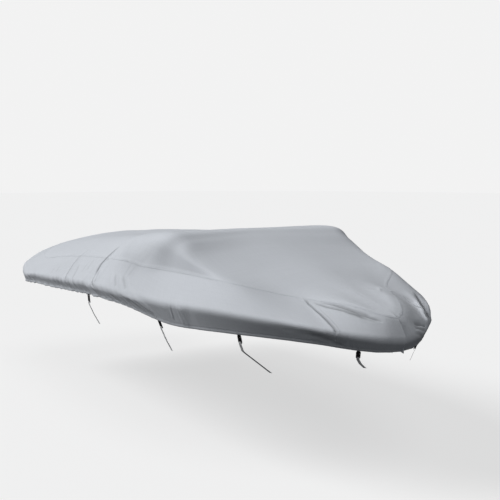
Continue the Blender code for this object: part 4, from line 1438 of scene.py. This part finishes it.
class MakeStudio(Maker, bpy.types.Operator):
    """Sets up the pale floor, the soft lights and the camera"""

    bl_idname = "cover.make_studio"
    bl_label = "Studio"

    def make(self, context):
        studio = context.scene.cover_studio
        bpy.ops.object.select_all(action="DESELECT")
        bpy.ops.mesh.primitive_circle_add(vertices=96, radius=40, fill_type="NGON", location=(0, 0, 0))
        floor = context.object
        floor.name = floor.data.name = "pale_floor"
        floor.data.transform(Matrix.Translation((0, 0, -TOP_ABOVE_GROUND)))
        made, t, shader = shader_of("pale studio floor", studio.floor_colour, 0.9)
        shader.inputs["Specular IOR Level"].default_value = 0.0
        below = t.node("ShaderNodeNewGeometry").outputs["Backfacing"]
        clear = t.node("ShaderNodeBsdfTransparent")
        glow = t.node("ShaderNodeEmission", {"Color": (*studio.backdrop_colour, 1.0), "Strength": 1.0})
        pale = t.node("ShaderNodeMixShader", {0: FLOOR_GLOW, 1: shader.outputs[0], 2: glow.outputs[0]})
        joined = t.node("ShaderNodeMixShader", {0: below, 1: pale.outputs[0], 2: clear.outputs[0]})
        t.link(joined.outputs[0], t.tree.nodes["Material Output"].inputs["Surface"])
        floor.data.materials.append(made)
        floor.visible_diffuse = False
        floor.visible_glossy = False
        soft_light("key", studio.key_direction, studio.key_strength, 30)
        soft_light("high fill", studio.fill_direction, studio.fill_strength, 40)
        context.scene.view_settings.view_transform = "Standard"
        studio_sky(context)
        a, e = math.radians(studio.camera_azimuth), math.radians(studio.camera_elevation)
        back = Vector((math.sin(a) * math.cos(e), -math.cos(a) * math.cos(e), math.sin(e)))
        data = bpy.data.cameras.new("camera")
        data.lens, data.sensor_width = studio.lens, 36.0
        data.clip_end = 200
        camera = new_piece("camera", data)
        camera.location = studio.camera_place
        camera.rotation_mode = "QUATERNION"
        camera.rotation_quaternion = (-back).to_track_quat("-Z", "Y")
        context.scene.camera = camera


# ---- settings, panel and run -------------------------------------------------------------------


def number(name, description, default, **more):
    """A setting that is one number."""
    return bpy.props.FloatProperty(name=name, description=description, default=default, **more)


def measure(name, description, default, **more):
    """A setting that is a length in metres."""
    return number(name, description, default, subtype="DISTANCE", unit="LENGTH", **more)


def triple(name, description, default, subtype, **more):
    """A setting that is a direction, a place or a colour."""
    return bpy.props.FloatVectorProperty(
        name=name, description=description, default=default, subtype=subtype, **more
    )


class CoverCloth(bpy.types.PropertyGroup):
    cloth_thickness: measure("Cloth Thickness", "Thickness of the woven cloth", 0.0006, min=0.0003)
    wave_depth: measure("Wave Depth", "How deep the slow waves of the cloth are", 0.0022)
    gather_share: number("Gathers", "Share of the full depth of the hem's gathers", 1.0, subtype="FACTOR")
    thread_pitch: measure("Thread Pitch", "Distance from one thread to the next", 0.0011)
    colour: triple("Cloth Colour", "Colour of the woven cloth", (0.560, 0.585, 0.625), "COLOR", min=0, max=1)


class CoverTrim(bpy.types.PropertyGroup):
    stitch_pitch: measure("Stitch Pitch", "Distance from one stitch to the next", 0.008)
    stitch_length: measure("Stitch Length", "Length of each stitch that shows", 0.0052)
    thread_width: measure("Thread Width", "Width of the sewing thread", 0.0009)
    thread_colour: triple("Thread Colour", "Colour of the seams' thread", (0.50, 0.525, 0.56), "COLOR")
    tab_colour: triple("Tab Colour", "Colour of the tabs' webbing", (0.012, 0.012, 0.013), "COLOR")
    strap_colour: triple("Strap Colour", "Colour of the straps' webbing", (0.78, 0.79, 0.80), "COLOR")
    buckle_colour: triple("Buckle Colour", "Colour of the buckles", (0.010, 0.010, 0.011), "COLOR")


class CoverStudio(bpy.types.PropertyGroup):
    floor_colour: triple("Floor Colour", "Colour of the floor", (0.92, 0.92, 0.92), "COLOR")
    key_direction: triple(
        "Key Direction", "Direction from the cover to the main light", (-0.45, -0.60, 0.66), "DIRECTION"
    )
    key_strength: number("Key Strength", "Strength of the main light", 2.85)
    fill_direction: triple(
        "Fill Direction", "Direction to the high light ahead of the cover", (0.50, -0.10, 0.86), "DIRECTION"
    )
    fill_strength: number("Fill Strength", "Strength of the high light ahead of the cover", 0.75)
    backdrop_colour: triple(
        "Backdrop Colour", "Colour that the lit floor has, for the backdrop", (0.89, 0.89, 0.89), "COLOR"
    )
    sky_strength: number("Sky Strength", "Brightness of the soft light from all round", 0.085)
    lens: number("Lens", "Focal length of the camera in millimetres", 61.2, unit="CAMERA")
    camera_azimuth: number("Camera Azimuth", "Degrees round the cover, from starboard to its bow", 57.4)
    camera_elevation: number("Camera Elevation", "Degrees that the camera looks down", 6.64)
    camera_place: triple(
        "Camera Place", "Where the camera stands", (5.81, -3.675, 0.623), "TRANSLATION", unit="LENGTH"
    )


MAKERS = (
    ("cover.make_studio", MakeStudio), ("cover.make_centre_panel", MakeCentrePanel),
    ("cover.make_side_panels", MakeSidePanels), ("cover.make_bow_panels", MakeBowPanels),
    ("cover.make_transom_panel", MakeTransomPanel), ("cover.make_stitching", MakeStitching),
    ("cover.make_ties", MakeTies), ("cover.make_buckles", MakeBuckles),
)
SETTINGS = (("cover_cloth", CoverCloth), ("cover_trim", CoverTrim), ("cover_studio", CoverStudio))


class CoverPanel(bpy.types.Panel):
    """Sizes, colours and makers of the cover"""

    bl_label = "Runabout Cover"
    bl_idname = "VIEW3D_PT_runabout_cover"
    bl_space_type = "VIEW_3D"
    bl_region_type = "UI"
    bl_category = "Cover"

    def draw(self, context):
        for setting, group in SETTINGS:
            box = self.layout.box()
            for name in group.__annotations__:
                box.prop(getattr(context.scene, setting), name)
        for idname, _ in MAKERS:
            self.layout.operator(idname)


CLASSES = tuple(group for _, group in SETTINGS) + tuple(maker for _, maker in MAKERS) + (CoverPanel,)


def register():
    for cls in CLASSES:
        bpy.utils.register_class(cls)
    for setting, group in SETTINGS:
        setattr(bpy.types.Scene, setting, bpy.props.PointerProperty(type=group))


def unregister():
    for setting, _ in SETTINGS:
        delattr(bpy.types.Scene, setting)
    for cls in reversed(CLASSES):
        bpy.utils.unregister_class(cls)


def main():
    """Makes the whole cover and its studio."""
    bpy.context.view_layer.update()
    register()
    for idname, _ in MAKERS:
        group, name = idname.split(".")
        getattr(getattr(bpy.ops, group), name)()


if __name__ == "__main__":
    main()
